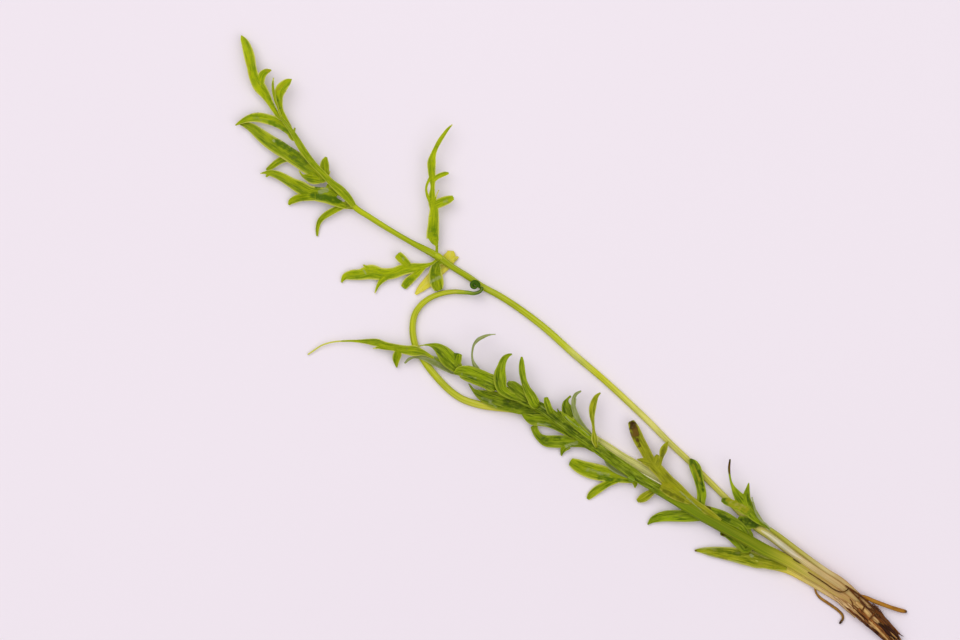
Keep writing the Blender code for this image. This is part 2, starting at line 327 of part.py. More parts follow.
# The short frond beside the leafy one, and the leaf low on the crown
SHORT_FROND_LEAVES = {
    "short_leaf_1": [
        [(57.9, -54.4, 4.3, 0.9), (56.0, -52.9, 4.4, 1.9), (54.2, -51.0, 4.4, 3.0), (52.7, -48.8, 4.5, 3.4),
         (52.2, -46.6, 4.7, 2.6), (52.4, -44.6, 4.9, 1.6), (52.7, -43.0, 5.1, 0.9), (52.9, -41.8, 5.2, 0.4)],
        [(52.6, -49.0, 4.5, 3.0), (50.8, -46.8, 4.5, 3.4), (49.3, -44.8, 4.5, 2.1),
         (48.3, -43.0, 4.4, 1.1), (47.7, -41.5, 4.2, 0.65), (47.3, -39.5, 4.0, 0.55),
         (47.1, -37.4, 3.8, 0.65), (47.4, -34.7, 3.4, 0.45)],
        [(53.0, -50.3, 4.4, 2.6), (50.5, -48.8, 4.3, 2.8), (48.0, -47.9, 4.0, 2.1), (46.2, -47.1, 3.7, 2.0),
         (45.2, -46.8, 3.5, 1.3)],
    ],
    "short_leaf_2": [
        [(58.6, -53.9, 5.1, 0.7), (57.2, -52.9, 5.2, 0.8), (55.6, -50.7, 5.3, 0.65), (54.6, -48.4, 5.4, 0.55),
         (53.9, -46.0, 5.45, 0.4)],
    ],
    "short_leaf_3": [
        [(56.4, -54.0, 3.5, 1.3), (54.7, -53.9, 3.45, 2.6), (52.7, -53.6, 3.3, 3.6), (51.2, -53.2, 3.2, 3.2),
         (50.1, -52.5, 3.2, 1.9)],
    ],
    "short_leaf_4": [
        [(53.3, -56.2, 2.9, 0.9), (53.9, -57.0, 2.7, 0.7), (54.4, -57.9, 2.5, 0.35)],
    ],
    "basal_leaf": [
        [(55.9, -65.2, 1.3, 4.1), (53.0, -64.2, 1.3, 4.6), (50.0, -63.5, 1.3, 4.4), (47.0, -63.0, 1.2, 3.8),
         (44.0, -62.6, 1.1, 3.2), (41.5, -62.3, 1.0, 2.5), (39.0, -62.0, 0.8, 1.4), (37.1, -62.0, 0.7, 0.6)],
    ],
}

# Colours from the photograph, as sRGB, with a roughness
FINISHES = {
    "leaf_bright": ((0.56, 0.64, 0.03), 0.4),
    "leaf_green": ((0.36, 0.52, 0.02), 0.4),
    "leaf_pale": ((0.62, 0.68, 0.38), 0.45),
    "leaf_brown": ((0.42, 0.38, 0.06), 0.5),
    "leaf_dying": ((0.80, 0.74, 0.26), 0.5),
    "stalk_green": ((0.68, 0.72, 0.14), 0.35),
    "stalk_pale": ((0.74, 0.69, 0.36), 0.4),
    "crown_tan": ((0.70, 0.58, 0.34), 0.55),
    "root_brown": ((0.50, 0.32, 0.12), 0.6),
}
LEAF_FINISH = {
    "middle_leaf_4_dying": "leaf_dying",
    "leafy_leaf_3": "leaf_brown",
    "leafy_leaf_22": "leaf_brown",
    "leafy_leaf_20": "leaf_pale",
}


def linear(channel):
    return channel / 12.92 if channel <= 0.04045 else ((channel + 0.055) / 1.055) ** 2.4


def material(name):
    """One Principled material for a finish, made once and shared."""
    if name in bpy.data.materials:
        return bpy.data.materials[name]
    colour, roughness = FINISHES[name]
    made = bpy.data.materials.new(name)
    made.use_nodes = True
    shader = made.node_tree.nodes["Principled BSDF"]
    shader.inputs["Base Color"].default_value = (*(linear(c) for c in colour), 1.0)
    shader.inputs["Roughness"].default_value = roughness
    shader.inputs["Metallic"].default_value = 0.0
    return made


def smooth_run(points, count):
    """A smooth curve through the points, all their columns together, read at `count` even places."""
    points = np.array(points, float)
    gaps = np.linalg.norm(np.diff(points[:, :2], axis=0), axis=1)
    places = np.concatenate(([0.0], np.cumsum(gaps)))
    slopes = np.gradient(points, places, axis=0)
    wanted = np.linspace(0.0, places[-1], count)
    index = np.clip(np.searchsorted(places, wanted, side="right") - 1, 0, len(gaps) - 1)
    gap = gaps[index][:, None]
    t = ((wanted - places[index]) / gaps[index])[:, None]
    return ((2 * t**3 - 3 * t**2 + 1) * points[index] + (t**3 - 2 * t**2 + t) * gap * slopes[index]
            + (3 * t**2 - 2 * t**3) * points[index + 1] + (t**3 - t**2) * gap * slopes[index + 1])


def run_length(points):
    return np.linalg.norm(np.diff(np.array(points)[:, :2], axis=0), axis=1).sum()


def sideways(run):
    """Unit vectors to the left of a run, in plan."""
    along = np.gradient(run[:, :2], axis=0)
    along /= np.linalg.norm(along, axis=1)[:, None]
    return np.column_stack((-along[:, 1], along[:, 0])), along


def blade_outline(run):
    """The blade's edge in plan: up its right side, round the tip, down its left side."""
    left, along = sideways(run)
    half = run[:, 3:4] / 2
    tip = run[-1:, :2] + along[-1:] * half[-1] * TIP_ROUNDING
    return np.concatenate((run[:, :2] - left * half, tip, (run[:, :2] + left * half)[::-1]))


def surface_height(places, runs):
    """The leaf's height over each place, blended from the blades that reach it."""
    total = np.zeros(len(places))
    weights = np.zeros(len(places))
    for run in runs:
        start, end = run[:-1], run[1:]
        edge = (end - start)[:, :2]
        offset = places[:, None, :] - start[None, :, :2]
        t = np.clip((offset * edge).sum(2) / (edge**2).sum(1), 0.0, 1.0)
        gap = np.linalg.norm(offset - t[:, :, None] * edge, axis=2)
        best = gap.argmin(axis=1)
        rows = np.arange(len(places))
        t, gap = t[rows, best], gap[rows, best]
        height = start[best, 2] * (1 - t) + end[best, 2] * t
        half = (start[best, 3] * (1 - t) + end[best, 3] * t) / 2
        across = np.clip(gap / half, 0.0, 1.3)
        weight = np.clip(1.0 - (across / 1.1) ** 2, 0.0, 1.0) + 0.0001
        total += weight * (height + FOLD_DEPTH * across**2)
        weights += weight
    return total / weights


def leaf_mesh(blades):
    """A thin closed sheet over the union of the blades' outlines."""
    corners, faces, runs = [], [], []
    for blade in blades:
        run = smooth_run(blade, max(3, round(run_length(blade) / LEAF_STEP) + 1))
        outline = blade_outline(run)
        faces.append(list(range(len(corners), len(corners) + len(outline))))
        corners.extend(Vector(corner) for corner in outline)
        corners.extend(Vector(centre) for centre in run[1:-1, :2])
        runs.append(run)
    places, _, triangles, _, _, owners = delaunay_2d_cdt(corners, [], faces, 1, 0.0001)
    triangles = [triangle for triangle, owner in zip(triangles, owners) if owner]
    used = sorted({corner for triangle in triangles for corner in triangle})
    number = {corner: index for index, corner in enumerate(used)}
    triangles = np.array([[number[corner] for corner in triangle] for triangle in triangles])
    places = np.array([places[corner][:] for corner in used])
    middle = np.column_stack((places, surface_height(places, runs)))
    a, b, c = (middle[triangles[:, i]] for i in range(3))
    facing = np.cross(b - a, c - a)
    flipped = facing[:, 2] < 0
    triangles[flipped] = triangles[flipped][:, ::-1]
    facing[flipped] *= -1
    normals = np.zeros_like(middle)
    for i in range(3):
        np.add.at(normals, triangles[:, i], facing)
    normals /= np.linalg.norm(normals, axis=1)[:, None]
    half = normals * LEAF_THICKNESS / 2
    edges = {}
    for triangle in triangles:
        for i in range(3):
            edges[(triangle[i], triangle[(i + 1) % 3])] = True
    rim = [edge for edge in edges if (edge[1], edge[0]) not in edges]
    count = len(middle)
    walls = [(a + count, b + count, b, a) for a, b in rim]
    upper = [tuple(triangle) for triangle in triangles]
    lower = [tuple(index + count for index in triangle[::-1]) for triangle in triangles]
    return np.concatenate((middle + half, middle - half)), upper + lower + walls


def tube_mesh(route, step, sides, lowest=None):
    """A tube of changing oval section along a route, its ends rounded off."""
    rings = smooth_run(route, max(3, round(run_length(route) / step) + 1))
    along = np.gradient(rings[:, :3], axis=0)
    along /= np.linalg.norm(along, axis=1)[:, None]
    nose = min(rings[0, 3], rings[0, 4]) / 2 * END_ROUNDING
    tail = min(rings[-1, 3], rings[-1, 4]) / 2 * END_ROUNDING
    first, last = rings[0].copy(), rings[-1].copy()
    rings[0, :3] += along[0] * nose
    rings[-1, :3] -= along[-1] * tail
    first[3:] *= END_ROUNDING
    last[3:] *= END_ROUNDING
    rings = np.concatenate(([first], rings, [last]))
    along = np.concatenate((along[:1], along, along[-1:]))
    vertices = []
    for ring, ahead in zip(rings, along):
        side = np.cross((0.0, 0.0, 1.0), ahead)
        side /= np.linalg.norm(side)
        above = np.cross(ahead, side)
        for k in range(sides):
            turn = 2 * math.pi * (k + 0.5) / sides
            point = ring[:3] + side * math.cos(turn) * ring[3] / 2 + above * math.sin(turn) * ring[4] / 2
            if lowest is not None:
                point[2] = max(point[2], lowest)
            vertices.append(point)
    faces = []
    for i in range(len(rings) - 1):
        for k in range(sides):
            a, b = i * sides + k, i * sides + (k + 1) % sides
            faces.append((a, b, b + sides, a + sides))
    faces.append(tuple(range(sides))[::-1])
    faces.append(tuple(range((len(rings) - 1) * sides, len(rings) * sides)))
    return np.array(vertices), faces


def add_node(name, vertices, faces, finish):
    """An object whose mesh is the given solid, in metres, with its faces turned outwards."""
    mesh = bpy.data.meshes.new(name)
    mesh.from_pydata([tuple(vertex) for vertex in np.asarray(vertices) * MM], [], faces)
    work = bmesh.new()
    work.from_mesh(mesh)
    bmesh.ops.recalc_face_normals(work, faces=work.faces)
    work.to_mesh(mesh)
    work.free()
    mesh.shade_smooth()
    mesh.materials.append(material(finish))
    node = bpy.data.objects.new(name, mesh)
    bpy.context.scene.collection.objects.link(node)
    return node


def add_stalks():
    for name, route in STALKS.items():
        finish = "stalk_pale" if name == "basal_frond_stalk" else "stalk_green"
        add_node(name, *tube_mesh(route, STALK_STEP, STALK_SIDES), finish)


def add_crozier():
    """The coiled tip as a turned bun, hollowed a little in the middle of its top and bottom."""
    profile = [(0.0, 0.55), (0.45, 0.7), (0.8, 0.9), (1.0, 0.0), (0.8, -0.9), (0.45, -0.7), (0.0, -0.55)]
    work = bmesh.new()
    ends = []
    rings = []
    for across, up in profile:
        height = up * CROZIER_HALF_HEIGHT
        if across == 0.0:
            ends.append(work.verts.new((0.0, 0.0, height)))
            continue
        turns = [2 * math.pi * k / CROZIER_SIDES for k in range(CROZIER_SIDES)]
        radius = across * CROZIER_RADIUS
        rings.append([work.verts.new((radius * math.cos(a), radius * math.sin(a), height)) for a in turns])
    for upper, lower in zip(rings, rings[1:]):
        for k in range(CROZIER_SIDES):
            after = (k + 1) % CROZIER_SIDES
            work.faces.new((upper[k], lower[k], lower[after], upper[after]))
    for end, ring in ((ends[0], rings[0]), (ends[1], rings[-1])):
        for k in range(CROZIER_SIDES):
            work.faces.new((end, ring[k], ring[(k + 1) % CROZIER_SIDES]))
    work.verts.index_update()
    vertices = np.array([vertex.co[:] for vertex in work.verts]) + np.array(CROZIER_CENTRE)
    faces = [tuple(vertex.index for vertex in face.verts) for face in work.faces]
    work.free()
    add_node("young_frond_crozier", vertices, faces, "leaf_green")


def add_crown():
    add_node("crown", *tube_mesh(CROWN, ROOT_STEP, CROWN_SIDES, lowest=CROWN_FLOOR), "crown_tan")


def add_roots():
    axis = np.array(TUFT_AXIS)
    number = 0
    for start_height, end_height, offsets in TUFT_LAYERS:
        for offset in offsets:
            shortening = TUFT_SHORTENING[number % len(TUFT_SHORTENING)]
            number += 1
            left, along = sideways(np.column_stack((axis, axis)))
            course = axis + left * offset * np.linspace(1.0, 1.12, len(axis))[:, None]
            course[-1] -= along[-1] * shortening
            heights = np.linspace(start_height, end_height, len(axis))
            widths = ROOT_WIDTH * np.array((1.0, 1.0, 0.9, 0.6))
            route = np.column_stack((course, heights, widths, widths))
            add_node(f"root_{number}", *tube_mesh(route, ROOT_STEP, ROOT_SIDES), "root_brown")
    for name, route in LOOSE_ROOTS.items():
        add_node(name, *tube_mesh(route, ROOT_STEP, ROOT_SIDES), "root_brown")


def add_leaves():
    for table in (LONG_FROND_LEAVES, MIDDLE_LEAVES, LEAFY_FROND_LEAVES, SHORT_FROND_LEAVES):
        finish = "leaf_bright" if table in (LONG_FROND_LEAVES, MIDDLE_LEAVES) else "leaf_green"
        for name, blades in table.items():
            add_node(name, *leaf_mesh(blades), LEAF_FINISH.get(name, finish))


def main():
    for thing in list(bpy.context.scene.objects):
        bpy.data.objects.remove(thing, do_unlink=True)
    add_stalks()
    add_crozier()
    add_crown()
    add_roots()
    add_leaves()


main()
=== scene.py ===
"""Water sprite: the look of a whole uprooted water fern, lying flat, built around its solids.

The tables give the course of each stalk, root and leaf blade, as in the part's source: millimetres, x to
the right and y up as the plant is seen from above, z up from the surface. Leaves are thin closed sheets
with a midrib, veins and a waving margin. Stalks, coil and roots are tubes that Geometry Nodes run along
those courses, and hairs are cones that they set on a thin core.
"""
import math

import bmesh
import bpy
import numpy as np
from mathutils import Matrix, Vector
from mathutils.geometry import delaunay_2d_cdt


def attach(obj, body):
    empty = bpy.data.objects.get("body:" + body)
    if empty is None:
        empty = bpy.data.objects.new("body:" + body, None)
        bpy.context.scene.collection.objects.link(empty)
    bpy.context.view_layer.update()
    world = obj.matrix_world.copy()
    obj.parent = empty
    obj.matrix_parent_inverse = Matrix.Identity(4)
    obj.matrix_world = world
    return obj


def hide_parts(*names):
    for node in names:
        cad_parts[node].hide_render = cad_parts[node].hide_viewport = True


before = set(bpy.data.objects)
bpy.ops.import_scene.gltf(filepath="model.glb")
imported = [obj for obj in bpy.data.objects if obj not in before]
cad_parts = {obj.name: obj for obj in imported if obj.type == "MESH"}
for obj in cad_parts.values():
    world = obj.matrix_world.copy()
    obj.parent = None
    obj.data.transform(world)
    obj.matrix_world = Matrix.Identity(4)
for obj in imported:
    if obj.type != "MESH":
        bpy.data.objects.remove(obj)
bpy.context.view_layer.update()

MM = 0.001

# The view and the light: the camera looks straight down on CAMERA_PLACE, where the picture is PHOTO_WIDTH
# wide. Each light is (name, x, y, z, size, power), in metres and watts, and faces the plant's middle.
CAMERA_PLACE = (-27.6, 7.2)
PHOTO_WIDTH = 288.0
LOOKED_AT_HEIGHT = 3.0
CAMERA_LENS = 250.0
SENSOR_WIDTH = 36.0
FARTHEST_SEEN = 50.0
LIGHTS = [
    ("softbox_tips", -0.8, 0.95, 1.9, 2.0, 26.3),
    ("softbox_roots", 1.0, -0.7, 1.9, 2.0, 14.2),
]
WORLD_STRENGTH = 0.5
WORLD_COLOUR = "#F4EFF6"
PAPER_COLOURS = ("#F4ECF2", "#EFE6ED")
PAPER_HALF_SIZE = 3.0

# Leaf blades, in millimetres: a sheet on points LEAF_STEP apart, thinner at its margin, between the
# surface and TOP_HEIGHT
LEAF_THICKNESS = 0.38
MARGIN_THICKNESS = 0.12
LEAST_THICKNESS = 0.05
LEAF_STEP = 0.32
FEWEST_ROWS = 4
TOP_HEIGHT = 6.5
TOP_GAP = 0.1
LEAF_FLOOR = 0.03
SEAM_GAP = 0.1
OUTLINE_GAP = 0.12
MERGE_GAP = 0.0001
# A blade is drawn WIDENING wider than its row says, less so where it is near a thread
WIDENING = 0.26
THREAD_WIDTH = 0.4
WIDENING_SPAN = 1.2
# Tips: long on narrow blades, blunt from half a width of BLUNT_HALF on, and slightly jagged
TIP_ROUNDING = 0.8
BLUNT_ROUNDING = 0.4
BLUNT_HALF = 1.2
TIP_POINTS = 7
TIP_FULLNESS = 0.7
JAG_DEPTH = 0.1
JAGS = 7
# Relief: a fold along the middle, a groove over the midrib and a keel below it, a waving margin, a slow
# twist. All of it is full from half a width of FULL_HALF and BODY_START along the blade.
FOLD_DEPTH = 0.12
MIDRIB_WIDTH = 0.5
MIDRIB_DEPTH = 0.07
KEEL_DEPTH = 0.1
WAVE_HEIGHT = 0.11
WAVE_LENGTH = 5.2
TWIST_HEIGHT = 0.09
TWIST_LENGTH = 15
FULL_HALF = 1.4
LEAST_BODY = 0.2
BODY_START = 2.5
# Each leaf's waves start LEAF_PHASE later than the last one's, and differ by blade and by side
LEAF_PHASE = 2.4
BLADE_PHASE = 1.7
SIDE_PHASE = 2.1
# Blades that meet are blended out to BLEND_REACH half widths, and their patterns lie BLADE_SHIFT apart
FARTHEST_REACH = 1.3
BLEND_REACH = 1.1
BLADE_SHIFT = 31
LEAST_WEIGHT = 0.0001
# A mark is full within half its reach and gone beyond MARK_END times it. NUDGE keeps its line from being
# a point.
MARK_END = 1.4
MARK_FADE = 0.9
NUDGE = 0.001
# A leaf without a lead of its own starts inside its stalk, LEAD_INNER steps short of its base, and leaves
# it at LEAD_OUTER steps. Its width there is at most LEAD_WIDEST of the stalk's, and less inside.
LEAD_STEP = 0.2
LEAD_INNER = 17
LEAD_OUTER = 6
LEAD_WIDEST = 0.8
LEAD_ASIDE = 0.3
LEAD_NARROWING = 0.6
# Edges sharper than this many degrees stay creases
LEAF_CREASE = 60
TUBE_CREASE = 50

# Tubes, in millimetres between the points of a route
STALK_STEP = 0.5
DETAIL_STEP = 0.15
CROWN_STEP = 0.35
STRAND_STEP = 0.25
FELT_STEP = 0.4
ROOT_STEP = 0.3
FEWEST_POINTS = 6
END_ROUNDING = 0.6
END_AREA = 0.01
GROOVE_SHARPNESS = 10.0
TUBE_FLOOR = 0.02

# Tuft strands: how often they wander in a metre, how far a strand's own noise lies from the next one's,
# how much its tip is thinner and how late it thins, and how far the mix leans to thin strands
WANDER_SCALE = 260.0
STRAND_SHIFT = (3.1, 5.7, 2.3)
TIP_THINNING = 0.7
THINNING_DELAY = 3.0
THIN_BIAS = 1.6

# Hairs: sides and lengths of each cone, radius at the tip in metres, how far they lean, and their sizes
HAIR_SIDES, HAIR_PARTS = 3, 2
HAIR_TIP = 0.000005
HAIR_LEAN = 0.7
HAIR_SIZES = (0.4, 1.2)

# Each noise is a scale and its detail. Leaf patterns, stretched along the blade: streaks about 6 mm long and
# 0.7 mm wide, finer ones 0.3 mm wide between them, and a net of veins 0.9 by 2.2 mm. Not stretched: clouds
# 4 mm across, painted shade that moves from one half of a blade to the other over 25 mm, and the ragged rim
# of all the marks, painted shade and glints among them.
STREAK_NOISE = ((0.17, 1.4, 0.0), 3.0)
THREAD_NOISE = ((0.22, 3.4, 0.0), 2.0)
NET_SCALE = (0.45, 1.1, 0.0)
CLOUD_NOISE = (250.0, 2.0)
SHADED_HALF_NOISE = (42.0, 1.0)
RAGGED_NOISE = (900.0, 3.0)
# How a pattern's value becomes a strength: the values that it goes between, and the least and the most
# strength, 0 and 1 if not given. The threads and furrows get theirs from LEAF_COLOURS.
STREAK_RANGE = (0.38, 0.7, 0.0, 0.8)
CLOUD_RANGE = (0.38, 0.68, 0.0, 0.7)
THREAD_RANGE = (0.53, 0.66, 0.0)
FURROW_RANGE = (0.47, 0.36, 0.0)
NET_RANGE = (0.09, 0.02, 0.0, 0.14)
MARGIN_RANGE = (0.72, 0.96, 0.0, 0.85)
RIB_RANGE = (0.3, 0.06, 0.0, 0.22)
SIDE_RANGE = (-0.35, 0.35)
# Which half of a blade lies in painted shade, and how deep that painted shade is
SHADED_HALF_RANGE = (0.44, 0.56)
SHADED_HALF_STRENGTH = 0.5
RAGGED_RANGE = (0.3, 0.7, -0.3, 0.3)
MARK_RANGE = (0.2, 0.8)
# Which streaks of a pale mark carry its painted highlight
PAINTED_GLINT_RANGE = (0.36, 0.6, 0.35, 1.0)
SCORCH_RANGE = (0.55, 0.95, 0.0, 0.7)
SCORCH_CLOUDS = (0.42, 0.6)
BACKLIT_SHARE = 0.4
# Tints: old tissue yellowed, browned and scorched; a painted highlight on pale marks; light through a blade
YELLOWED, BROWNED, SCORCHED, PAINTED_GLINT, BACKLIT = "#B7B01C", "#402808", "#86661E", "#AEB878", "#B4C008"

# Stalk patterns: vessel strands about 0.3 mm wide run the whole length; cloudy patches are 6 mm long.
# Over the crown both turn to the colours of old tissue.
VESSEL_NOISE = ((0.035, 3.2, 3.2), 2.0)
PATCH_NOISE = ((0.16, 0.5, 0.5), 2.0)
STALK_REACH = 100
OLD_RANGE = (0.81, 0.89)
VESSEL_RANGE, VESSEL_STRENGTH = (0.5, 0.68, 0.0), 0.45
PALE_RANGE, PALE_STRENGTH = (0.47, 0.34, 0.0), 0.35
PATCH_RANGE = (0.45, 0.75, 0.0, 0.25)
# Painted shade on each stalk's flanks and underside, as its surface turns from the top; browner on the crown
FLANK_SHADE_RANGE = (0.86, 0.3)
FLANK_SHADE, OLD_FLANK_SHADE, OLD_STRAND = "#FCFCDC", "#F0E4D0", "#9A7434"

# Root patterns: cork streaks along each strand; tips are nearly black
CORK_NOISE = ((0.3, 2.6, 2.6), 4.0)
OWN_RANGE = (0.6, 0.85, 0.0, 0.95)
CORK_RANGE = (0.42, 0.62, 0.0, 0.85)
# Painted shade on the underside of each strand, as its surface turns down
UNDERSIDE_SHADE_RANGE = (0.7, 0.1, 0.0, 0.7)
# The tuft is darker to either side of its middle line, from so many metres off it on
UPPER_SIDE_RANGE = (0.0002, 0.0016, 0.0, 0.55)
LOWER_SIDE_RANGE = (-0.0019, -0.0025, 0.0, 0.8)
ACROSS_TUFT = (0.7071, 0.7071, 0.0)
TIP_CORE, TIP_STRENGTH = 0.3, 0.95
ROOT_TIP = "#2C1404"

# Finishes: bump as (strength, depth in metres), skin as (roughness, specular level), and the share of the
# light that goes through
LEAF_BUMP, LEAF_SKIN, LEAF_THROUGH = (0.5, 0.00008), (0.38, 0.1), 0.28
STALK_BUMP, STALK_SKIN, STALK_THROUGH = (0.4, 0.0001), (0.46, 0.12), 0.12
ROOT_BUMP, ROOT_SKIN = (0.6, 0.00012), (0.6, 0.12)
WET_IOR = 1.45
PAPER_ROUGHNESS = 0.9
PAPER_NOISE = (3.0, 2.0)

# Stalks: (x, y, z, width, height) from the crown outwards
STALKS = {
    "long_frond_stalk": [
        (80.3, -72.5, 3.3, 2.4, 1.7), (76.0, -69.6, 3.3, 2.4, 1.8), (70.0, -65.5, 3.2, 2.5, 1.9),
        (65.0, -61.8, 3.0, 2.5, 2.0), (60.0, -58.0, 2.6, 2.4, 2.0), (55.4, -54.9, 1.9, 2.4, 2.0),
        (50.4, -50.4, 1.3, 2.1, 2.0), (46.4, -46.4, 1.15, 1.8, 1.8), (39.8, -39.8, 1.05, 1.8, 1.7),
        (35.2, -35.2, 1.0, 1.8, 1.7), (28.6, -28.9, 1.0, 1.8, 1.7), (23.1, -23.3, 1.0, 1.9, 1.8),
        (17.1, -17.6, 1.0, 1.9, 1.9), (8.2, -9.5, 1.05, 1.9, 1.9), (1.7, -4.0, 1.1, 2.0, 1.9),
        (-9.6, 6.0, 1.1, 2.0, 1.9), (-21.6, 14.4, 1.1, 1.9, 1.9), (-27.6, 17.7, 1.1, 1.9, 1.9),
        (-30.6, 19.8, 1.2, 1.9, 1.9), (-36.6, 23.6, 2.0, 1.9, 1.9), (-39.9, 26.0, 2.5, 2.2, 2.0),
        (-48.7, 30.8, 2.8, 1.6, 1.7), (-60.7, 38.1, 3.4, 1.7, 1.6), (-65.2, 41.2, 4.0, 1.7, 1.5),
        (-67.1, 43.9, 4.4, 1.3, 1.2), (-69.1, 46.1, 4.7, 1.2, 1.1), (-72.1, 48.6, 4.9, 1.2, 1.1),
        (-75.1, 51.4, 5.0, 1.2, 1.1), (-77.7, 54.0, 5.1, 1.1, 1.1), (-79.7, 56.8, 5.1, 1.1, 1.0),
        (-81.7, 60.0, 5.1, 1.0, 1.0), (-83.2, 62.6, 5.1, 0.9, 0.9), (-84.9, 65.0, 5.0, 0.8, 0.8),
        (-87.0, 67.6, 4.9, 0.6, 0.6),
    ],
    "leafy_frond_stalk": [
        (79.2, -74.3, 3.5, 2.5, 1.8), (75.0, -71.5, 3.6, 2.6, 1.8), (70.0, -68.4, 3.7, 2.8, 1.9),
        (65.0, -65.3, 3.9, 3.1, 2.0), (60.0, -62.8, 4.0, 3.4, 2.2), (57.9, -61.8, 4.0, 3.5, 2.3),
        (53.4, -59.2, 4.0, 3.3, 2.4), (44.4, -54.3, 4.0, 3.4, 2.4), (35.4, -49.2, 4.0, 3.4, 2.4),
        (30.9, -46.5, 4.0, 3.2, 2.3), (23.4, -42.1, 4.0, 2.8, 2.1), (20.4, -40.1, 4.0, 2.5, 2.0),
        (15.9, -37.0, 4.0, 2.2, 1.9), (12.0, -34.4, 4.0, 2.0, 1.8), (8.4, -31.9, 4.0, 1.8, 1.7),
        (5.4, -29.5, 4.0, 1.6, 1.5), (0.9, -26.4, 4.1, 1.5, 1.4), (-3.6, -23.1, 4.1, 1.4, 1.3),
        (-8.1, -19.8, 4.1, 1.4, 1.3), (-15.6, -16.2, 4.0, 1.2, 1.1), (-21.6, -13.2, 3.7, 1.0, 0.9),
        (-27.6, -10.2, 3.5, 0.9, 0.8), (-33.8, -8.4, 3.3, 0.6, 0.6),
    ],
    "short_frond_stalk": [
        (81.3, -71.1, 3.8, 1.4, 1.1), (76.1, -67.8, 4.0, 1.4, 1.1), (70.1, -63.5, 4.2, 1.4, 1.1),
        (66.1, -60.5, 4.3, 1.4, 1.1), (62.1, -57.4, 4.4, 1.3, 1.2), (59.1, -55.2, 4.3, 1.1, 1.1),
    ],
    "young_frond_stalk": [
        (79.9, -73.2, 1.1, 1.7, 1.6), (75.0, -70.1, 1.1, 1.7, 1.7), (70.0, -66.9, 1.1, 1.7, 1.8),
        (65.0, -64.2, 1.1, 1.8, 1.9), (57.0, -60.4, 1.1, 2.0, 1.9), (44.4, -52.3, 1.1, 2.2, 2.0),
        (35.4, -46.6, 1.1, 2.4, 2.0), (27.3, -41.4, 1.1, 2.5, 2.0), (21.3, -37.4, 1.1, 2.6, 2.0),
        (15.3, -34.0, 1.1, 2.6, 2.0), (9.9, -30.4, 1.1, 2.5, 2.0), (4.0, -27.0, 1.1, 2.4, 2.0),
        (-4.0, -23.3, 1.1, 2.3, 2.0), (-12.0, -20.4, 1.1, 2.2, 2.0), (-20.1, -19.3, 1.1, 2.2, 2.0),
        (-24.6, -18.8, 1.1, 2.2, 2.0), (-29.0, -17.9, 1.1, 2.2, 2.0), (-33.5, -16.2, 1.1, 2.1, 2.0),
        (-36.7, -13.9, 1.1, 2.1, 2.0), (-40.0, -10.6, 1.1, 2.1, 2.0), (-43.0, -7.0, 1.1, 2.1, 2.0),
        (-45.3, -3.6, 1.1, 2.0, 2.0), (-46.8, -0.9, 1.1, 2.0, 2.0), (-47.7, 2.7, 1.1, 2.0, 2.0),
        (-47.8, 5.7, 1.1, 1.95, 1.9), (-47.1, 9.0, 1.1, 1.9, 1.9), (-45.3, 11.7, 1.1, 1.8, 1.8),
        (-42.6, 13.8, 1.1, 1.7, 1.7), (-39.6, 15.0, 1.1, 1.6, 1.6), (-35.1, 15.7, 1.4, 1.4, 1.4),
        (-31.4, 15.4, 2.4, 1.2, 1.2), (-29.0, 15.2, 3.1, 1.1, 1.1), (-27.3, 16.0, 3.4, 1.0, 1.0),
    ],
    "basal_frond_stalk": [
        (78.3, -75.4, 1.7, 2.2, 2.0), (74.0, -72.6, 1.6, 2.5, 2.0), (70.0, -70.2, 1.5, 2.7, 2.0),
        (65.0, -67.5, 1.4, 3.0, 2.0), (60.0, -66.0, 1.2, 3.3, 1.6), (56.9, -65.4, 1.0, 3.1, 1.2),
    ],
}

# Loose roots, as the stalks
LOOSE_ROOTS = {
    "root_loose_thick": [
        (88.3, -76.1, 2.4, 1.1, 1.1), (90.2, -77.0, 2.3, 1.25, 1.2), (93.0, -78.1, 1.8, 1.25, 1.2),
        (96.0, -79.2, 1.3, 1.2, 1.2), (99.0, -80.1, 0.9, 1.2, 1.2), (100.7, -80.45, 0.7, 0.9, 0.9),
    ],
    "root_loose_hooked": [
        (73.4, -74.8, 0.7, 0.65, 0.6), (74.5, -76.2, 0.6, 0.8, 0.7), (75.9, -77.2, 0.5, 0.85, 0.7),
        (78.0, -78.6, 0.5, 0.85, 0.7), (80.0, -80.1, 0.5, 0.85, 0.7), (81.2, -81.4, 0.5, 0.8, 0.7),
        (81.4, -82.4, 0.5, 0.75, 0.65), (80.9, -83.3, 0.5, 0.75, 0.65), (80.3, -84.1, 0.5, 0.6, 0.6),
    ],
    "root_over_stalks": [
        (70.6, -68.3, 5.2, 0.34, 0.34), (73.0, -69.8, 5.0, 0.34, 0.34), (76.0, -71.8, 4.9, 0.36, 0.36),
        (79.0, -73.8, 4.9, 0.4, 0.4), (80.6, -74.35, 5.0, 0.4, 0.4), (82.2, -73.9, 5.0, 0.36, 0.36),
        (83.0, -73.1, 4.9, 0.3, 0.3),
    ],
}

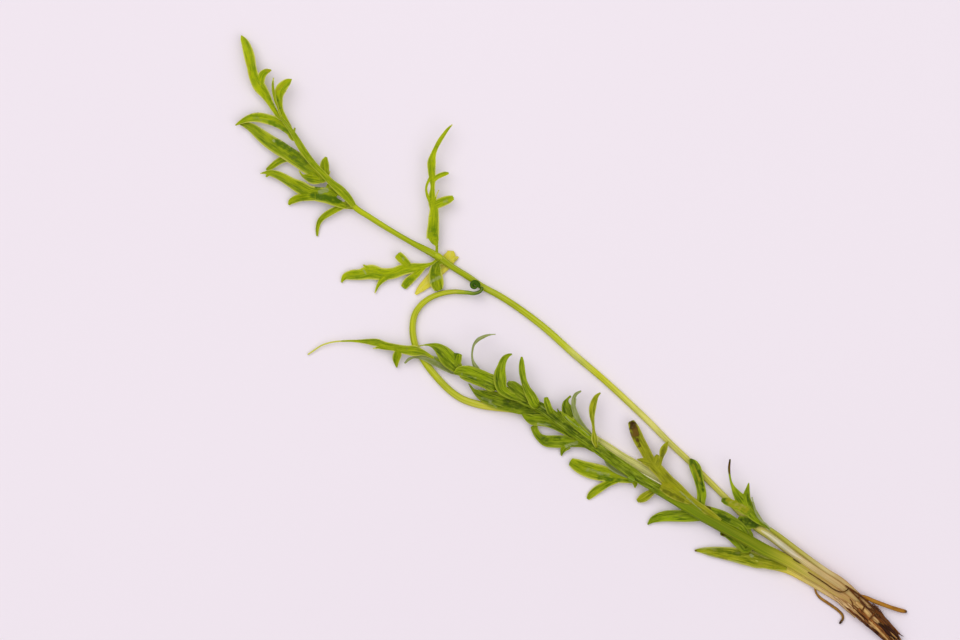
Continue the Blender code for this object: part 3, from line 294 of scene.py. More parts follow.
# Leaf blades: runs of (x, y, z, width) from base to tip. A leaf's blades, lobes and teeth are fused.
LONG_FROND_LEAVES = {
    "long_leaf_1": [
        [(-87.9, 68.1, 3.3, 1.1), (-89.2, 70.0, 3.3, 1.3), (-90.5, 72.2, 3.3, 1.6), (-92.0, 74.8, 3.4, 2.6),
         (-93.8, 77.3, 3.6, 3.5), (-95.3, 80.0, 3.6, 2.9), (-96.1, 83.0, 3.7, 2.6), (-96.7, 86.0, 3.6, 3.0),
         (-97.4, 88.5, 3.3, 2.7), (-98.1, 90.4, 2.9, 2.1), (-98.8, 91.7, 2.6, 1.3),
         (-99.15, 92.45, 2.4, 0.5)],
        [(-93.6, 77.2, 3.6, 2.2), (-93.3, 79.2, 3.7, 2.1), (-92.8, 80.8, 3.8, 2.1), (-91.7, 81.7, 3.8, 1.6),
         (-90.4, 82.1, 3.7, 0.6)],
    ],
    "long_leaf_2": [
        [(-84.5, 64.6, 3.95, 1.1), (-86.2, 67.4, 4.05, 1.6), (-87.4, 70.2, 4.3, 1.5),
         (-87.75, 72.6, 4.6, 1.8), (-87.8, 75.0, 4.8, 2.7), (-87.1, 76.6, 4.9, 3.1),
         (-86.0, 77.9, 4.9, 2.5), (-84.9, 78.8, 4.8, 1.6), (-84.2, 79.3, 4.7, 0.5)],
    ],
    "long_leaf_3": [
        [(-88.3, 71.2, 5.4, 0.5), (-88.8, 72.6, 5.6, 0.7), (-89.2, 74.2, 5.8, 0.8), (-89.55, 76.2, 5.9, 0.8),
         (-89.65, 78.0, 5.9, 0.6), (-89.5, 79.6, 5.9, 0.35)],
    ],
    "long_leaf_4": [
        [(-83.4, 61.7, 3.6, 1.6), (-84.7, 63.7, 3.2, 2.1), (-86.7, 65.4, 2.8, 2.5), (-89.0, 66.7, 2.6, 2.8),
         (-91.5, 67.5, 2.6, 2.8), (-94.0, 68.0, 2.6, 2.7), (-96.0, 67.9, 2.5, 2.3), (-98.0, 67.3, 2.4, 1.6),
         (-99.6, 66.5, 2.2, 1.0), (-100.9, 65.7, 2.1, 0.4)],
    ],
    "long_leaf_5": [
        [(-74.6, 49.6, 4.3, 2.6), (-76.9, 51.6, 4.1, 3.4), (-79.2, 53.2, 3.9, 4.2), (-82.3, 55.3, 3.5, 4.2),
         (-85.4, 57.3, 3.2, 4.1), (-88.2, 59.1, 2.9, 4.2), (-91.0, 60.9, 2.6, 3.9), (-93.6, 62.9, 2.1, 3.3),
         (-96.0, 64.8, 1.6, 2.5), (-98.0, 65.8, 1.3, 1.6), (-99.6, 66.2, 1.2, 0.8)],
        [(-75.3, 49.3, 3.7, 2.2), (-76.6, 49.6, 3.8, 3.2), (-78.2, 49.8, 3.7, 3.1), (-79.6, 50.1, 3.5, 1.8),
         (-80.9, 50.6, 3.3, 0.7), (-81.8, 51.9, 3.1, 0.4)],
    ],
    "long_leaf_6": [
        [(-84.6, 56.0, 2.5, 2.0), (-86.8, 55.4, 2.2, 1.9), (-88.8, 54.3, 1.7, 1.7), (-90.3, 53.2, 1.2, 1.4),
         (-91.5, 52.4, 0.9, 0.9)],
    ],
    "long_leaf_7": [
        [(-66.6, 41.2, 2.6, 1.3), (-68.0, 41.5, 2.8, 1.7), (-69.4, 42.0, 2.95, 2.1), (-70.8, 43.0, 3.1, 3.4),
         (-73.0, 44.4, 3.2, 4.5), (-76.0, 44.9, 3.1, 4.1), (-79.0, 45.6, 2.9, 3.7), (-81.5, 47.0, 2.7, 3.7),
         (-84.0, 48.3, 2.5, 2.9), (-86.5, 49.8, 2.3, 2.5), (-88.8, 50.9, 2.1, 2.1), (-91.0, 51.4, 2.0, 1.5),
         (-92.3, 51.4, 1.9, 0.7), (-93.4, 51.2, 1.7, 0.35)],
        [(-77.0, 44.4, 3.0, 2.6), (-79.5, 44.2, 2.6, 2.3), (-81.8, 43.9, 2.0, 2.1), (-83.4, 43.3, 1.4, 1.9),
         (-84.5, 42.6, 1.0, 1.4), (-84.9, 42.0, 0.8, 0.8)],
        [(-90.9, 51.1, 2.0, 1.0), (-91.7, 50.3, 1.8, 0.6)],
    ],
    "long_leaf_8": [
        [(-68.6, 41.2, 2.1, 1.2), (-70.2, 40.7, 2.1, 1.6), (-71.8, 39.9, 2.0, 1.7), (-73.4, 39.0, 1.8, 1.7),
         (-74.8, 38.0, 1.5, 1.5), (-75.8, 36.8, 1.1, 1.3), (-76.3, 35.3, 0.8, 1.05), (-76.5, 33.8, 0.5, 0.85),
         (-76.5, 32.6, 0.4, 0.55)],
    ],
    "long_leaf_9": [
        [(-73.3, 49.9, 3.6, 1.2), (-73.9, 51.2, 3.7, 2.0), (-74.2, 53.0, 4.0, 2.6), (-74.1, 54.6, 4.4, 2.1),
         (-73.8, 55.8, 4.6, 0.9)],
    ],
}

# The pinna halfway up the long frond, with its dying yellow leaf
MIDDLE_LEAVES = {
    "middle_leaf_1": [
        [(-41.9, 31.5, 3.3, 3.3), (-41.8, 33.0, 3.4, 3.5), (-41.6, 35.5, 3.6, 3.2), (-41.5, 38.0, 3.8, 2.9),
         (-41.4, 40.5, 3.9, 2.4), (-41.9, 42.5, 4.0, 2.2), (-42.0, 44.5, 4.1, 1.8), (-41.8, 46.9, 4.2, 1.2),
         (-41.9, 49.5, 4.3, 1.7), (-42.1, 52.0, 4.4, 2.1), (-42.1, 54.5, 4.5, 2.3), (-41.6, 56.8, 4.6, 1.5),
         (-40.9, 58.6, 4.6, 1.2), (-39.7, 60.9, 4.6, 1.2), (-38.3, 63.0, 4.5, 1.0), (-37.0, 64.7, 4.3, 0.7),
         (-36.0, 65.7, 4.2, 0.35)],
        [(-40.55, 28.7, 2.9, 0.8), (-40.6, 30.0, 3.0, 0.9), (-40.8, 31.2, 3.2, 1.5), (-41.2, 33.0, 3.4, 2.2)],
        [(-42.6, 42.8, 4.0, 1.0), (-43.4, 44.6, 4.1, 0.8), (-43.75, 46.5, 4.2, 0.65),
         (-43.4, 48.1, 4.25, 0.7), (-42.5, 49.8, 4.3, 0.9)],
        [(-41.8, 48.8, 4.3, 1.2), (-40.4, 50.1, 4.3, 1.3), (-39.0, 50.75, 4.2, 1.3), (-37.9, 51.1, 4.1, 1.1),
         (-37.2, 51.2, 4.0, 0.7)],
        [(-41.6, 41.2, 3.9, 2.0), (-39.9, 42.2, 3.9, 2.6), (-38.2, 42.9, 3.8, 2.5), (-36.9, 43.4, 3.6, 2.1),
         (-35.9, 43.8, 3.5, 1.4)],
    ],
    "middle_leaf_2": [
        [(-42.0, 24.2, 1.5, 0.8), (-44.5, 23.4, 1.5, 1.5), (-47.5, 22.9, 1.5, 2.6), (-50.5, 22.4, 1.5, 3.1),
         (-53.5, 21.3, 1.5, 3.1), (-57.0, 21.0, 1.5, 3.4), (-60.5, 21.6, 1.4, 4.2), (-63.5, 20.9, 1.2, 3.1),
         (-66.3, 20.7, 1.0, 2.7), (-68.1, 20.2, 0.8, 1.8), (-68.9, 19.2, 0.6, 0.9), (-69.1, 18.6, 0.5, 0.5)],
        [(-61.0, 22.8, 1.3, 1.0), (-62.6, 23.7, 1.3, 0.4)],
        [(-49.0, 23.4, 1.5, 1.9), (-50.1, 24.6, 1.8, 2.3), (-51.2, 25.7, 2.1, 2.5), (-52.1, 26.6, 2.4, 2.3)],
        [(-56.0, 20.2, 1.5, 2.2), (-57.4, 18.8, 1.2, 1.4), (-58.4, 17.2, 0.9, 0.8), (-59.1, 15.4, 0.6, 0.35)],
        [(-44.2, 23.2, 1.5, 1.0), (-46.0, 21.6, 1.3, 1.7), (-48.0, 19.8, 1.0, 2.2), (-49.6, 18.3, 0.7, 2.3),
         (-50.4, 17.2, 0.5, 1.8)],
    ],
    "middle_leaf_3": [
        [(-40.3, 24.2, 2.0, 1.4), (-40.7, 23.2, 2.0, 2.6), (-41.0, 21.5, 2.0, 3.6), (-40.8, 19.5, 1.9, 4.0),
         (-40.4, 17.7, 1.8, 3.7), (-40.1, 16.6, 1.7, 2.7)],
    ],
    "middle_leaf_4_dying": [
        [(-36.4, 28.0, 0.6, 1.6), (-36.5, 26.8, 0.6, 3.0), (-37.0, 25.5, 0.6, 3.7), (-37.9, 24.0, 0.6, 3.4),
         (-39.2, 22.6, 0.6, 3.0), (-41.0, 21.0, 0.6, 3.1), (-42.7, 19.1, 0.6, 3.1), (-44.3, 17.6, 0.6, 2.6),
         (-45.8, 16.2, 0.5, 1.7), (-46.8, 15.1, 0.4, 0.8)],
        [(-37.2, 25.2, 0.6, 2.4), (-35.7, 25.4, 0.6, 1.7), (-34.9, 25.7, 0.6, 1.1), (-34.2, 26.1, 0.6, 0.5)],
    ],
}

# The leafy frond, from the crown outwards
LEAFY_FROND_LEAVES = {
    "leafy_leaf_1": [
        [(38.9, -48.4, 3.3, 1.7), (38.8, -46.8, 3.4, 2.4), (38.9, -45.0, 3.4, 2.6), (38.6, -43.0, 3.3, 2.5),
         (38.1, -41.0, 3.2, 2.6), (37.6, -39.0, 3.1, 2.9), (37.0, -37.2, 3.0, 3.1), (36.2, -35.7, 2.8, 2.4),
         (35.6, -34.8, 2.7, 1.0)],
    ],
    "leafy_leaf_2": [
        [(40.6, -52.3, 2.3, 1.6), (38.0, -51.7, 2.2, 2.8), (34.5, -51.6, 2.0, 3.3), (31.0, -51.6, 1.7, 3.2),
         (28.0, -51.7, 1.4, 3.0), (25.7, -52.2, 1.1, 2.4), (24.0, -53.0, 0.8, 1.5), (22.9, -54.1, 0.6, 0.5)],
    ],
    "leafy_leaf_3": [
        [(36.2, -47.2, 4.4, 1.9), (34.0, -45.5, 4.5, 2.6), (31.7, -43.6, 4.6, 3.3), (28.8, -41.1, 4.6, 3.5),
         (26.4, -38.3, 4.4, 3.2), (24.3, -36.1, 4.2, 3.1), (23.0, -34.1, 4.0, 2.8), (21.7, -31.6, 3.8, 2.9),
         (20.3, -29.2, 3.6, 3.1), (19.3, -27.0, 3.4, 3.1), (18.5, -25.0, 3.2, 2.7), (17.8, -23.5, 3.0, 1.9)],
        [(23.4, -35.5, 4.2, 3.0), (22.0, -35.1, 4.1, 2.0), (20.8, -34.8, 4.0, 1.1), (19.6, -34.6, 3.9, 0.35)],
        [(25.7, -37.0, 4.3, 1.7), (26.3, -35.4, 4.1, 1.2), (26.8, -33.8, 3.9, 1.2), (27.4, -31.8, 3.6, 1.9),
         (28.1, -30.4, 3.3, 1.3), (28.8, -29.3, 2.9, 0.35)],
        [(24.6, -36.2, 4.2, 1.8), (25.1, -34.7, 4.0, 1.8), (25.6, -33.5, 3.9, 1.0)],
    ],
    "leafy_leaf_4": [
        [(24.6, -44.1, 2.3, 1.4), (23.6, -44.7, 2.1, 1.9), (22.2, -45.7, 1.7, 2.5), (20.9, -46.5, 1.2, 2.2),
         (19.9, -47.0, 0.9, 1.2)],
    ],
    "leafy_leaf_5": [
        [(18.3, -40.7, 2.3, 1.8), (16.0, -40.5, 2.1, 2.2), (13.0, -39.9, 1.8, 3.1), (9.5, -38.9, 1.5, 4.4),
         (6.0, -38.1, 1.3, 4.6), (3.0, -37.1, 1.2, 4.0), (1.0, -36.1, 1.2, 3.2), (-0.1, -35.5, 1.3, 2.4)],
        [(13.6, -40.6, 1.8, 1.9), (10.5, -42.0, 1.3, 1.9), (8.5, -43.2, 0.9, 2.2), (6.8, -44.4, 0.6, 2.2),
         (5.5, -45.6, 0.4, 1.7), (4.95, -46.3, 0.35, 1.1)],
        [(18.4, -40.9, 2.2, 1.4), (19.0, -42.0, 2.0, 1.3), (18.9, -43.0, 1.8, 0.5)],
    ],
    "leafy_leaf_6": [
        [(18.2, -39.9, 2.45, 1.2), (15.8, -38.7, 2.4, 2.1), (13.2, -37.0, 2.45, 2.9),
         (11.4, -35.6, 2.45, 2.6), (10.0, -34.5, 2.45, 1.0)],
    ],
    "leafy_leaf_7": [
        [(7.0, -31.9, 2.4, 1.2), (4.0, -30.2, 2.3, 1.8), (1.0, -29.7, 2.1, 2.3), (-2.0, -29.3, 1.8, 3.4),
         (-5.0, -29.3, 1.4, 3.5), (-8.0, -29.0, 1.2, 3.1), (-9.8, -27.9, 1.2, 2.1), (-10.9, -26.3, 1.4, 1.8),
         (-11.4, -24.9, 1.6, 1.8)],
        [(-1.2, -30.4, 1.7, 2.4), (-2.5, -31.6, 1.2, 1.6), (-3.0, -32.7, 0.7, 0.9), (-3.1, -33.5, 0.5, 0.4)],
    ],
    "leafy_leaf_8": [
        [(7.3, -30.6, 5.6, 1.0), (6.8, -28.7, 5.5, 1.8), (6.5, -26.3, 5.2, 0.9), (6.3, -24.0, 5.0, 0.8),
         (6.0, -21.5, 4.9, 1.4), (6.15, -19.0, 4.9, 1.9), (6.7, -17.0, 4.8, 1.6), (7.4, -15.6, 4.6, 1.1),
         (8.4, -14.7, 4.4, 0.45)],
    ],
    "leafy_leaf_9": [
        [(5.0, -27.0, 4.2, 1.5), (3.8, -25.6, 4.2, 1.6), (2.1, -23.2, 4.3, 1.6), (1.0, -20.7, 4.4, 1.4),
         (0.4, -18.3, 4.4, 1.1), (0.5, -16.3, 4.3, 1.0), (1.2, -15.0, 4.2, 0.9), (2.6, -14.15, 4.0, 0.45)],
    ],
    "leafy_leaf_10": [
        [(2.2, -24.6, 3.3, 1.8), (0.6, -23.0, 3.3, 2.6), (-0.9, -20.9, 3.3, 3.3), (-1.6, -19.0, 3.3, 2.9),
         (-1.8, -17.7, 3.2, 1.8), (-1.3, -16.5, 3.1, 0.7), (-0.5, -15.7, 3.0, 0.6)],
    ],
    "leafy_leaf_11": [
        [(0.3, -27.6, 2.75, 1.2), (-2.5, -25.8, 2.75, 2.1), (-6.0, -23.9, 2.75, 2.6),
         (-9.5, -22.8, 2.75, 3.3), (-12.0, -22.6, 2.75, 3.0), (-13.6, -21.9, 2.75, 1.8),
         (-14.7, -21.2, 2.75, 0.7)],
    ],
    "leafy_leaf_12": [
        [(-6.4, -20.4, 5.2, 1.7), (-7.0, -19.0, 5.2, 1.7), (-7.6, -17.3, 5.1, 1.6), (-7.8, -16.3, 5.0, 1.2)],
    ],
    "leafy_leaf_13": [
        [(-10.6, -18.4, 6.2, 2.2), (-12.2, -15.8, 6.2, 2.8), (-13.6, -13.3, 6.1, 2.0),
         (-14.5, -10.8, 5.9, 1.6), (-14.95, -8.5, 5.7, 1.7), (-15.1, -6.2, 5.5, 1.45),
         (-15.1, -4.7, 5.4, 1.0), (-15.1, -4.0, 5.3, 0.6)],
    ],
    "leafy_leaf_14": [
        [(-12.9, -16.6, 5.3, 2.2), (-14.5, -15.2, 5.3, 3.2), (-16.5, -13.6, 5.3, 3.2),
         (-18.2, -12.2, 5.3, 2.4), (-19.0, -11.7, 5.3, 1.3)],
    ],
    "leafy_leaf_15": [
        [(-21.0, -13.4, 6.1, 2.9), (-21.6, -10.8, 6.0, 3.6), (-21.6, -8.6, 5.8, 3.2), (-21.2, -6.8, 5.6, 2.3),
         (-20.7, -5.2, 5.4, 1.9), (-20.0, -4.1, 5.3, 1.5), (-19.1, -3.4, 5.2, 1.0), (-18.2, -3.05, 5.1, 0.5)],
    ],
    "leafy_leaf_16": [
        [(-10.0, -19.3, 2.75, 1.2), (-12.0, -18.9, 2.75, 2.0), (-15.5, -18.4, 2.75, 3.6),
         (-19.0, -17.8, 2.75, 4.6), (-22.5, -16.9, 2.75, 4.8), (-25.5, -15.9, 2.7, 3.9),
         (-27.8, -15.0, 2.6, 2.4), (-29.4, -14.0, 2.5, 1.0), (-30.9, -12.0, 2.4, 0.35)],
    ],
    "leafy_leaf_17": [
        [(-22.4, -12.6, 4.8, 3.2), (-26.0, -10.8, 4.7, 4.6), (-29.0, -9.6, 4.7, 4.7), (-32.0, -8.6, 4.9, 4.2),
         (-34.0, -8.3, 5.2, 2.6), (-35.0, -8.7, 5.3, 1.0)],
    ],
    "leafy_leaf_18": [
        [(-28.4, -7.8, 3.6, 1.5), (-29.2, -6.4, 3.9, 1.1), (-29.85, -4.6, 4.3, 0.6), (-29.9, -2.2, 4.7, 0.5),
         (-29.4, -0.2, 5.0, 0.65), (-28.3, 1.2, 5.2, 0.95), (-26.5, 2.2, 5.2, 0.85), (-24.8, 2.75, 5.0, 0.5),
         (-23.1, 2.9, 4.8, 0.3)],
    ],
    "leafy_leaf_19": [
        [(-33.9, -7.6, 4.1, 2.6), (-35.5, -6.0, 4.1, 4.2), (-37.2, -4.2, 4.1, 4.8), (-38.8, -2.4, 4.0, 3.9),
         (-40.5, -1.0, 3.8, 2.4), (-42.5, -0.3, 3.5, 0.9), (-44.3, -0.3, 3.3, 0.4), (-45.8, -0.6, 3.2, 0.3)],
        [(-35.2, -6.4, 4.1, 3.0), (-34.6, -4.4, 4.3, 2.8), (-34.4, -3.3, 4.5, 2.6)],
    ],
    "leafy_leaf_20": [
        [(-35.6, -8.6, 2.7, 0.9), (-37.6, -7.1, 2.7, 2.2), (-40.0, -5.6, 2.75, 2.7), (-42.2, -4.7, 2.75, 2.4),
         (-44.2, -4.1, 2.8, 1.5), (-46.0, -3.9, 2.8, 1.0), (-47.5, -4.0, 2.6, 0.6), (-49.0, -4.6, 2.2, 0.8),
         (-50.1, -5.7, 1.8, 0.5)],
    ],
    "leafy_leaf_21": [
        [(-44.9, -2.5, 3.6, 1.6), (-47.0, -2.1, 3.6, 2.9), (-50.0, -1.75, 3.5, 2.4),
         (-53.0, -1.1, 3.2, 2.0), (-56.0, -0.4, 2.9, 1.9), (-58.5, 0.4, 2.6, 2.1), (-61.0, 0.7, 2.3, 1.5),
         (-64.0, 0.85, 2.0, 0.85), (-68.0, 0.9, 1.6, 0.5), (-72.0, 0.55, 1.2, 0.45),
         (-75.0, -0.35, 0.9, 0.45), (-77.3, -1.8, 0.6, 0.45), (-79.2, -3.1, 0.45, 0.4)],
        [(-53.0, -1.3, 3.2, 1.2), (-56.0, -1.15, 2.7, 1.1), (-58.3, -1.1, 2.4, 0.6),
         (-59.6, -1.35, 2.2, 0.3)],
        [(-51.9, -1.9, 3.2, 1.4), (-52.3, -3.0, 2.8, 2.3), (-52.7, -4.3, 2.3, 2.2), (-52.7, -5.7, 1.8, 1.3),
         (-52.6, -6.9, 1.4, 0.5)],
    ],
    "leafy_leaf_22": [
        [(51.0, -54.9, 4.0, 1.7), (48.5, -53.3, 4.2, 2.5), (45.5, -51.6, 4.3, 2.7), (42.6, -50.3, 4.4, 2.2),
         (40.3, -49.3, 4.5, 1.5)],
    ],
    "leafy_leaf_23": [
        [(52.2, -61.6, 2.2, 2.2), (50.3, -59.8, 2.2, 2.9), (48.4, -58.0, 2.2, 2.9), (46.4, -56.9, 2.1, 2.2),
         (44.9, -56.8, 2.0, 1.3)],
    ],
}

# The short frond beside the leafy one, and the leaf low on the crown
SHORT_FROND_LEAVES = {
    "short_leaf_1": [
        [(57.9, -54.4, 4.3, 0.9), (56.0, -52.9, 4.4, 1.9), (54.2, -51.0, 4.4, 3.0), (52.7, -48.8, 4.5, 3.4),
         (52.2, -46.6, 4.7, 2.6), (52.4, -44.6, 4.9, 1.6), (52.7, -43.0, 5.1, 0.9), (52.9, -41.8, 5.2, 0.4)],
        [(52.6, -49.0, 4.5, 3.0), (50.8, -46.8, 4.5, 3.4), (49.3, -44.8, 4.5, 2.1),
         (48.3, -43.0, 4.4, 1.1), (47.7, -41.5, 4.2, 0.65), (47.3, -39.5, 4.0, 0.55),
         (47.1, -37.4, 3.8, 0.65), (47.4, -34.7, 3.4, 0.45)],
        [(53.0, -50.3, 4.4, 2.6), (50.5, -48.8, 4.3, 2.8), (48.0, -47.9, 4.0, 2.1), (46.2, -47.1, 3.7, 2.0),
         (45.2, -46.8, 3.5, 1.3)],
    ],
    "short_leaf_2": [
        [(58.3, -54.1, 5.1, 0.45), (56.8, -53.0, 5.2, 0.55), (55.3, -50.9, 5.3, 0.55),
         (54.5, -48.4, 5.4, 0.5), (53.9, -46.0, 5.45, 0.4)],
    ],
    "short_leaf_3": [
        [(56.4, -54.0, 3.5, 1.3), (54.7, -53.9, 3.45, 2.6), (52.7, -53.6, 3.3, 3.6), (51.2, -53.2, 3.2, 3.2),
         (50.1, -52.5, 3.2, 1.9)],
    ],
    "short_leaf_4": [
        [(53.3, -56.2, 2.9, 0.9), (53.9, -57.0, 2.7, 0.7), (54.4, -57.9, 2.5, 0.35)],
    ],
    "basal_leaf": [
        [(55.9, -65.2, 1.3, 4.1), (53.0, -64.2, 1.3, 4.6), (50.0, -63.5, 1.3, 4.4), (47.0, -63.0, 1.2, 3.8),
         (44.0, -62.6, 1.1, 3.2), (41.5, -62.3, 1.0, 2.5), (39.0, -62.0, 0.8, 1.4), (37.1, -62.0, 0.7, 0.6)],
    ],
}

# Where a leaf leaves its stalk, if that isn't the nearest place: points put before its first blade
LEADS = {
    "long_leaf_3": [(-86.8, 67.2, 4.9, 0.5), (-87.7, 69.4, 5.2, 0.5)],
    "long_leaf_6": [(-83.0, 56.2, 3.3, 1.0)],
    "middle_leaf_4_dying": [],
    "leafy_leaf_3": [(44.5, -53.0, 4.6, 1.0), (40.5, -50.2, 4.9, 1.8)],
    "leafy_leaf_15": [(-13.5, -17.4, 4.3, 0.8), (-16.4, -16.2, 5.0, 1.6), (-19.0, -15.1, 5.8, 2.2)],
    "leafy_leaf_21": [(-41.5, -4.2, 3.35, 0.6)],
    "leafy_leaf_22": [(54.5, -59.6, 4.0, 0.6), (52.8, -57.3, 4.0, 1.2)],
    "short_leaf_3": [(58.6, -54.9, 4.2, 0.9)],
    "short_leaf_4": [(53.0, -54.4, 3.3, 1.0)],
    "basal_leaf": [(64.5, -67.4, 2.3, 1.0), (62.5, -66.8, 2.3, 2.0), (60.3, -66.2, 2.2, 3.0),
                   (58.0, -65.7, 1.9, 3.2)],
}
# The blade that starts at the stalk, where it isn't a leaf's first
LEADING_BLADE = {"middle_leaf_1": 1}

# Small teeth, stubs and leaf stems, too slight for the solids
SMALL_BLADES = {
    "middle_leaf_1": [[(-41.2, 42.6, 4.0, 0.6), (-40.7, 44.4, 4.3, 0.35), (-40.0, 46.1, 4.5, 0.2)],
                      [(-40.6, 29.6, 3.1, 0.9), (-41.2, 30.9, 3.2, 2.2), (-41.7, 32.4, 3.3, 3.0)]],
    "middle_leaf_4_dying": [[(-39.4, 25.9, 2.3, 0.8), (-38.9, 25.2, 1.3, 0.9), (-38.3, 24.3, 0.7, 1.2)]],
    "leafy_leaf_9": [[(0.6, -19.6, 4.3, 0.7), (0.9, -17.6, 4.6, 0.4), (1.1, -16.4, 4.8, 0.2)]],
    "leafy_leaf_3": [[(35.5, -47.6, 5.0, 1.0), (32.0, -45.6, 5.3, 2.8), (29.0, -43.7, 5.4, 3.3),
                      (27.0, -42.6, 5.3, 2.3)]],
    "leafy_leaf_16": [[(-9.0, -20.4, 2.75, 1.4), (-13.0, -20.4, 2.7, 1.8), (-17.0, -19.9, 2.7, 1.6),
                       (-20.5, -19.2, 2.7, 1.0)]],
    "long_leaf_7": [[(-67.4, 42.9, 3.3, 1.4), (-69.0, 44.4, 3.4, 2.4), (-71.0, 46.0, 3.4, 2.8),
                     (-73.2, 47.4, 3.3, 1.8)]],
    "long_leaf_9": [[(-73.6, 50.2, 3.9, 0.6), (-72.9, 51.0, 4.2, 0.4), (-72.6, 51.8, 4.4, 0.2)]],
}

# Leaf tissue along the upper stretches of two stalks, a narrow wing to either side
WINGS = {
    "leafy_frond_wing": [
        [(29.0, -45.4, 5.0, 1.4), (25.5, -43.4, 5.1, 2.3), (20.4, -40.3, 5.1, 2.9), (15.9, -37.2, 5.1, 3.0),
         (12.0, -34.5, 5.0, 2.9), (8.4, -31.9, 4.9, 2.9), (5.4, -29.5, 4.9, 3.0), (0.9, -26.4, 4.8, 3.0),
         (-3.6, -23.1, 4.7, 3.0), (-8.1, -19.8, 4.7, 2.9), (-15.6, -16.2, 4.6, 2.6), (-21.6, -13.2, 4.2, 2.2),
         (-27.6, -10.2, 3.9, 1.4)],
        [(-1.6, -23.6, 4.8, 1.6), (-3.0, -21.9, 4.9, 1.3), (-3.9, -20.6, 5.0, 0.8), (-4.4, -19.5, 5.1, 0.3)],
    ],
    "leafy_frond_bract": [
        [(8.2, -30.0, 5.2, 0.8), (5.4, -27.9, 5.4, 1.4), (2.4, -25.4, 5.5, 1.7), (-0.6, -22.9, 5.5, 1.5),
         (-2.6, -21.1, 5.4, 0.9), (-3.4, -20.2, 5.3, 0.3)],
        [(2.6, -25.2, 5.5, 0.9), (1.0, -23.2, 5.5, 0.6), (0.2, -21.9, 5.4, 0.25)],
    ],
    "long_frond_wing": [
        [(-65.4, 41.4, 4.8, 1.4), (-67.1, 43.7, 5.0, 2.1), (-69.1, 45.8, 5.2, 2.4), (-72.1, 48.4, 5.4, 1.8),
         (-75.0, 51.4, 5.5, 1.5), (-77.6, 54.1, 5.6, 1.6), (-79.8, 56.9, 5.6, 1.8), (-81.8, 60.0, 5.5, 1.8),
         (-83.3, 62.6, 5.4, 1.4), (-85.0, 65.1, 5.2, 1.1), (-87.2, 67.8, 5.0, 0.7)],
        [(-83.1, 61.7, 5.4, 0.8), (-83.4, 62.9, 5.5, 0.7), (-83.1, 64.6, 5.5, 0.5)],
    ],
}

# Slits and holes through the blades: from x, y to x, y, and the reach to either side
HOLES = {
    "long_leaf_7": [(-70.2, 44.15, -68.5, 43.0, 0.42)],
}

# The stalks' courses beyond the solids: into the crown, and on under the last leaves
STALK_ROOTS = {
    "long_frond_stalk": [(89.6, -80.6, 2.6, 0.9, 0.8), (86.4, -77.7, 3.5, 1.6, 1.2),
                         (83.3, -74.9, 3.7, 1.9, 1.5)],
    "leafy_frond_stalk": [(89.9, -82.9, 2.8, 1.0, 0.8), (86.3, -79.4, 3.6, 1.8, 1.3),
                          (82.6, -76.4, 3.8, 2.1, 1.7)],
    "short_frond_stalk": [(87.4, -76.4, 3.1, 0.8, 0.7), (84.4, -73.7, 3.6, 1.1, 1.0)],
    "young_frond_stalk": [(86.0, -77.0, 1.4, 1.0, 1.0), (83.0, -75.2, 1.2, 1.6, 1.5)],
    "basal_frond_stalk": [(88.4, -83.3, 1.6, 1.0, 1.0), (85.0, -80.1, 1.9, 1.7, 1.5),
                          (81.6, -77.7, 1.8, 1.9, 1.8)],
}
STALK_ENDS = {
    "leafy_frond_stalk": [(-37.4, -6.5, 3.3, 0.55, 0.5), (-41.2, -4.3, 3.35, 0.5, 0.45)],
    "basal_frond_stalk": [(55.0, -65.0, 0.95, 2.4, 0.9), (52.5, -64.2, 0.9, 1.6, 0.6),
                          (49.0, -63.3, 0.9, 0.8, 0.4)],
}

# Each leaf's blade colour, its deeper colour, which its painted shade also takes, the colours of its margin
# and its veins, and how much its finest streaks show
LEAF_COLOURS = {
    "bright": ("#BACA02", "#6C8E00", "#F0EA70", "#D4DA18", 0.6),
    "fresh": ("#AABA02", "#567600", "#E6E462", "#C4CE20", 0.7),
    "green": ("#9AB200", "#446000", "#B8C236", "#B8C628", 0.9),
    "deep": ("#8CA202", "#3C5600", "#A6B22C", "#AAB82A", 0.9),
    "lower": ("#B0B40C", "#5E7200", "#D8D66C", "#C8C838", 0.9),
    "nested": ("#8EA202", "#3E5600", "#8A9E0C", "#ACBC38", 1.0),
    "grey": ("#A2AC5C", "#78843C", "#B8C088", "#C0C892", 0.6),
    "olive": ("#B0B40E", "#74780C", "#C6C046", "#BCBA30", 0.8),
    "winged": ("#9EB202", "#688600", "#D2D648", "#CCD22C", 0.7),
    "dying": ("#F6EC48", "#E6DC34", "#E0D068", "#F0E88C", 0.4),
}
LEAF_LOOKS = {
    "bright": ("long_leaf_1", "long_leaf_2", "long_leaf_4", "middle_leaf_1", "middle_leaf_2"),
    "winged": ("long_frond_wing",),
    "fresh": ("long_leaf_3", "long_leaf_5", "long_leaf_6", "long_leaf_7", "long_leaf_8", "long_leaf_9",
              "middle_leaf_3", "leafy_leaf_5", "leafy_leaf_21"),
    "lower": ("leafy_leaf_4", "leafy_leaf_8", "basal_leaf"),
    "green": ("leafy_leaf_1", "leafy_leaf_2", "leafy_leaf_7", "leafy_leaf_11", "leafy_leaf_12",
              "leafy_leaf_13", "leafy_leaf_15", "leafy_leaf_17", "leafy_leaf_19", "short_leaf_1",
              "short_leaf_4", "leafy_frond_bract"),
    "nested": ("leafy_frond_wing",),
    "deep": ("leafy_leaf_10", "leafy_leaf_14", "leafy_leaf_16", "leafy_leaf_22", "leafy_leaf_23",
             "short_leaf_3"),
    "grey": ("leafy_leaf_6", "leafy_leaf_9", "leafy_leaf_18", "leafy_leaf_20", "short_leaf_2"),
    "olive": ("leafy_leaf_3",),
    "dying": ("middle_leaf_4_dying",),
}
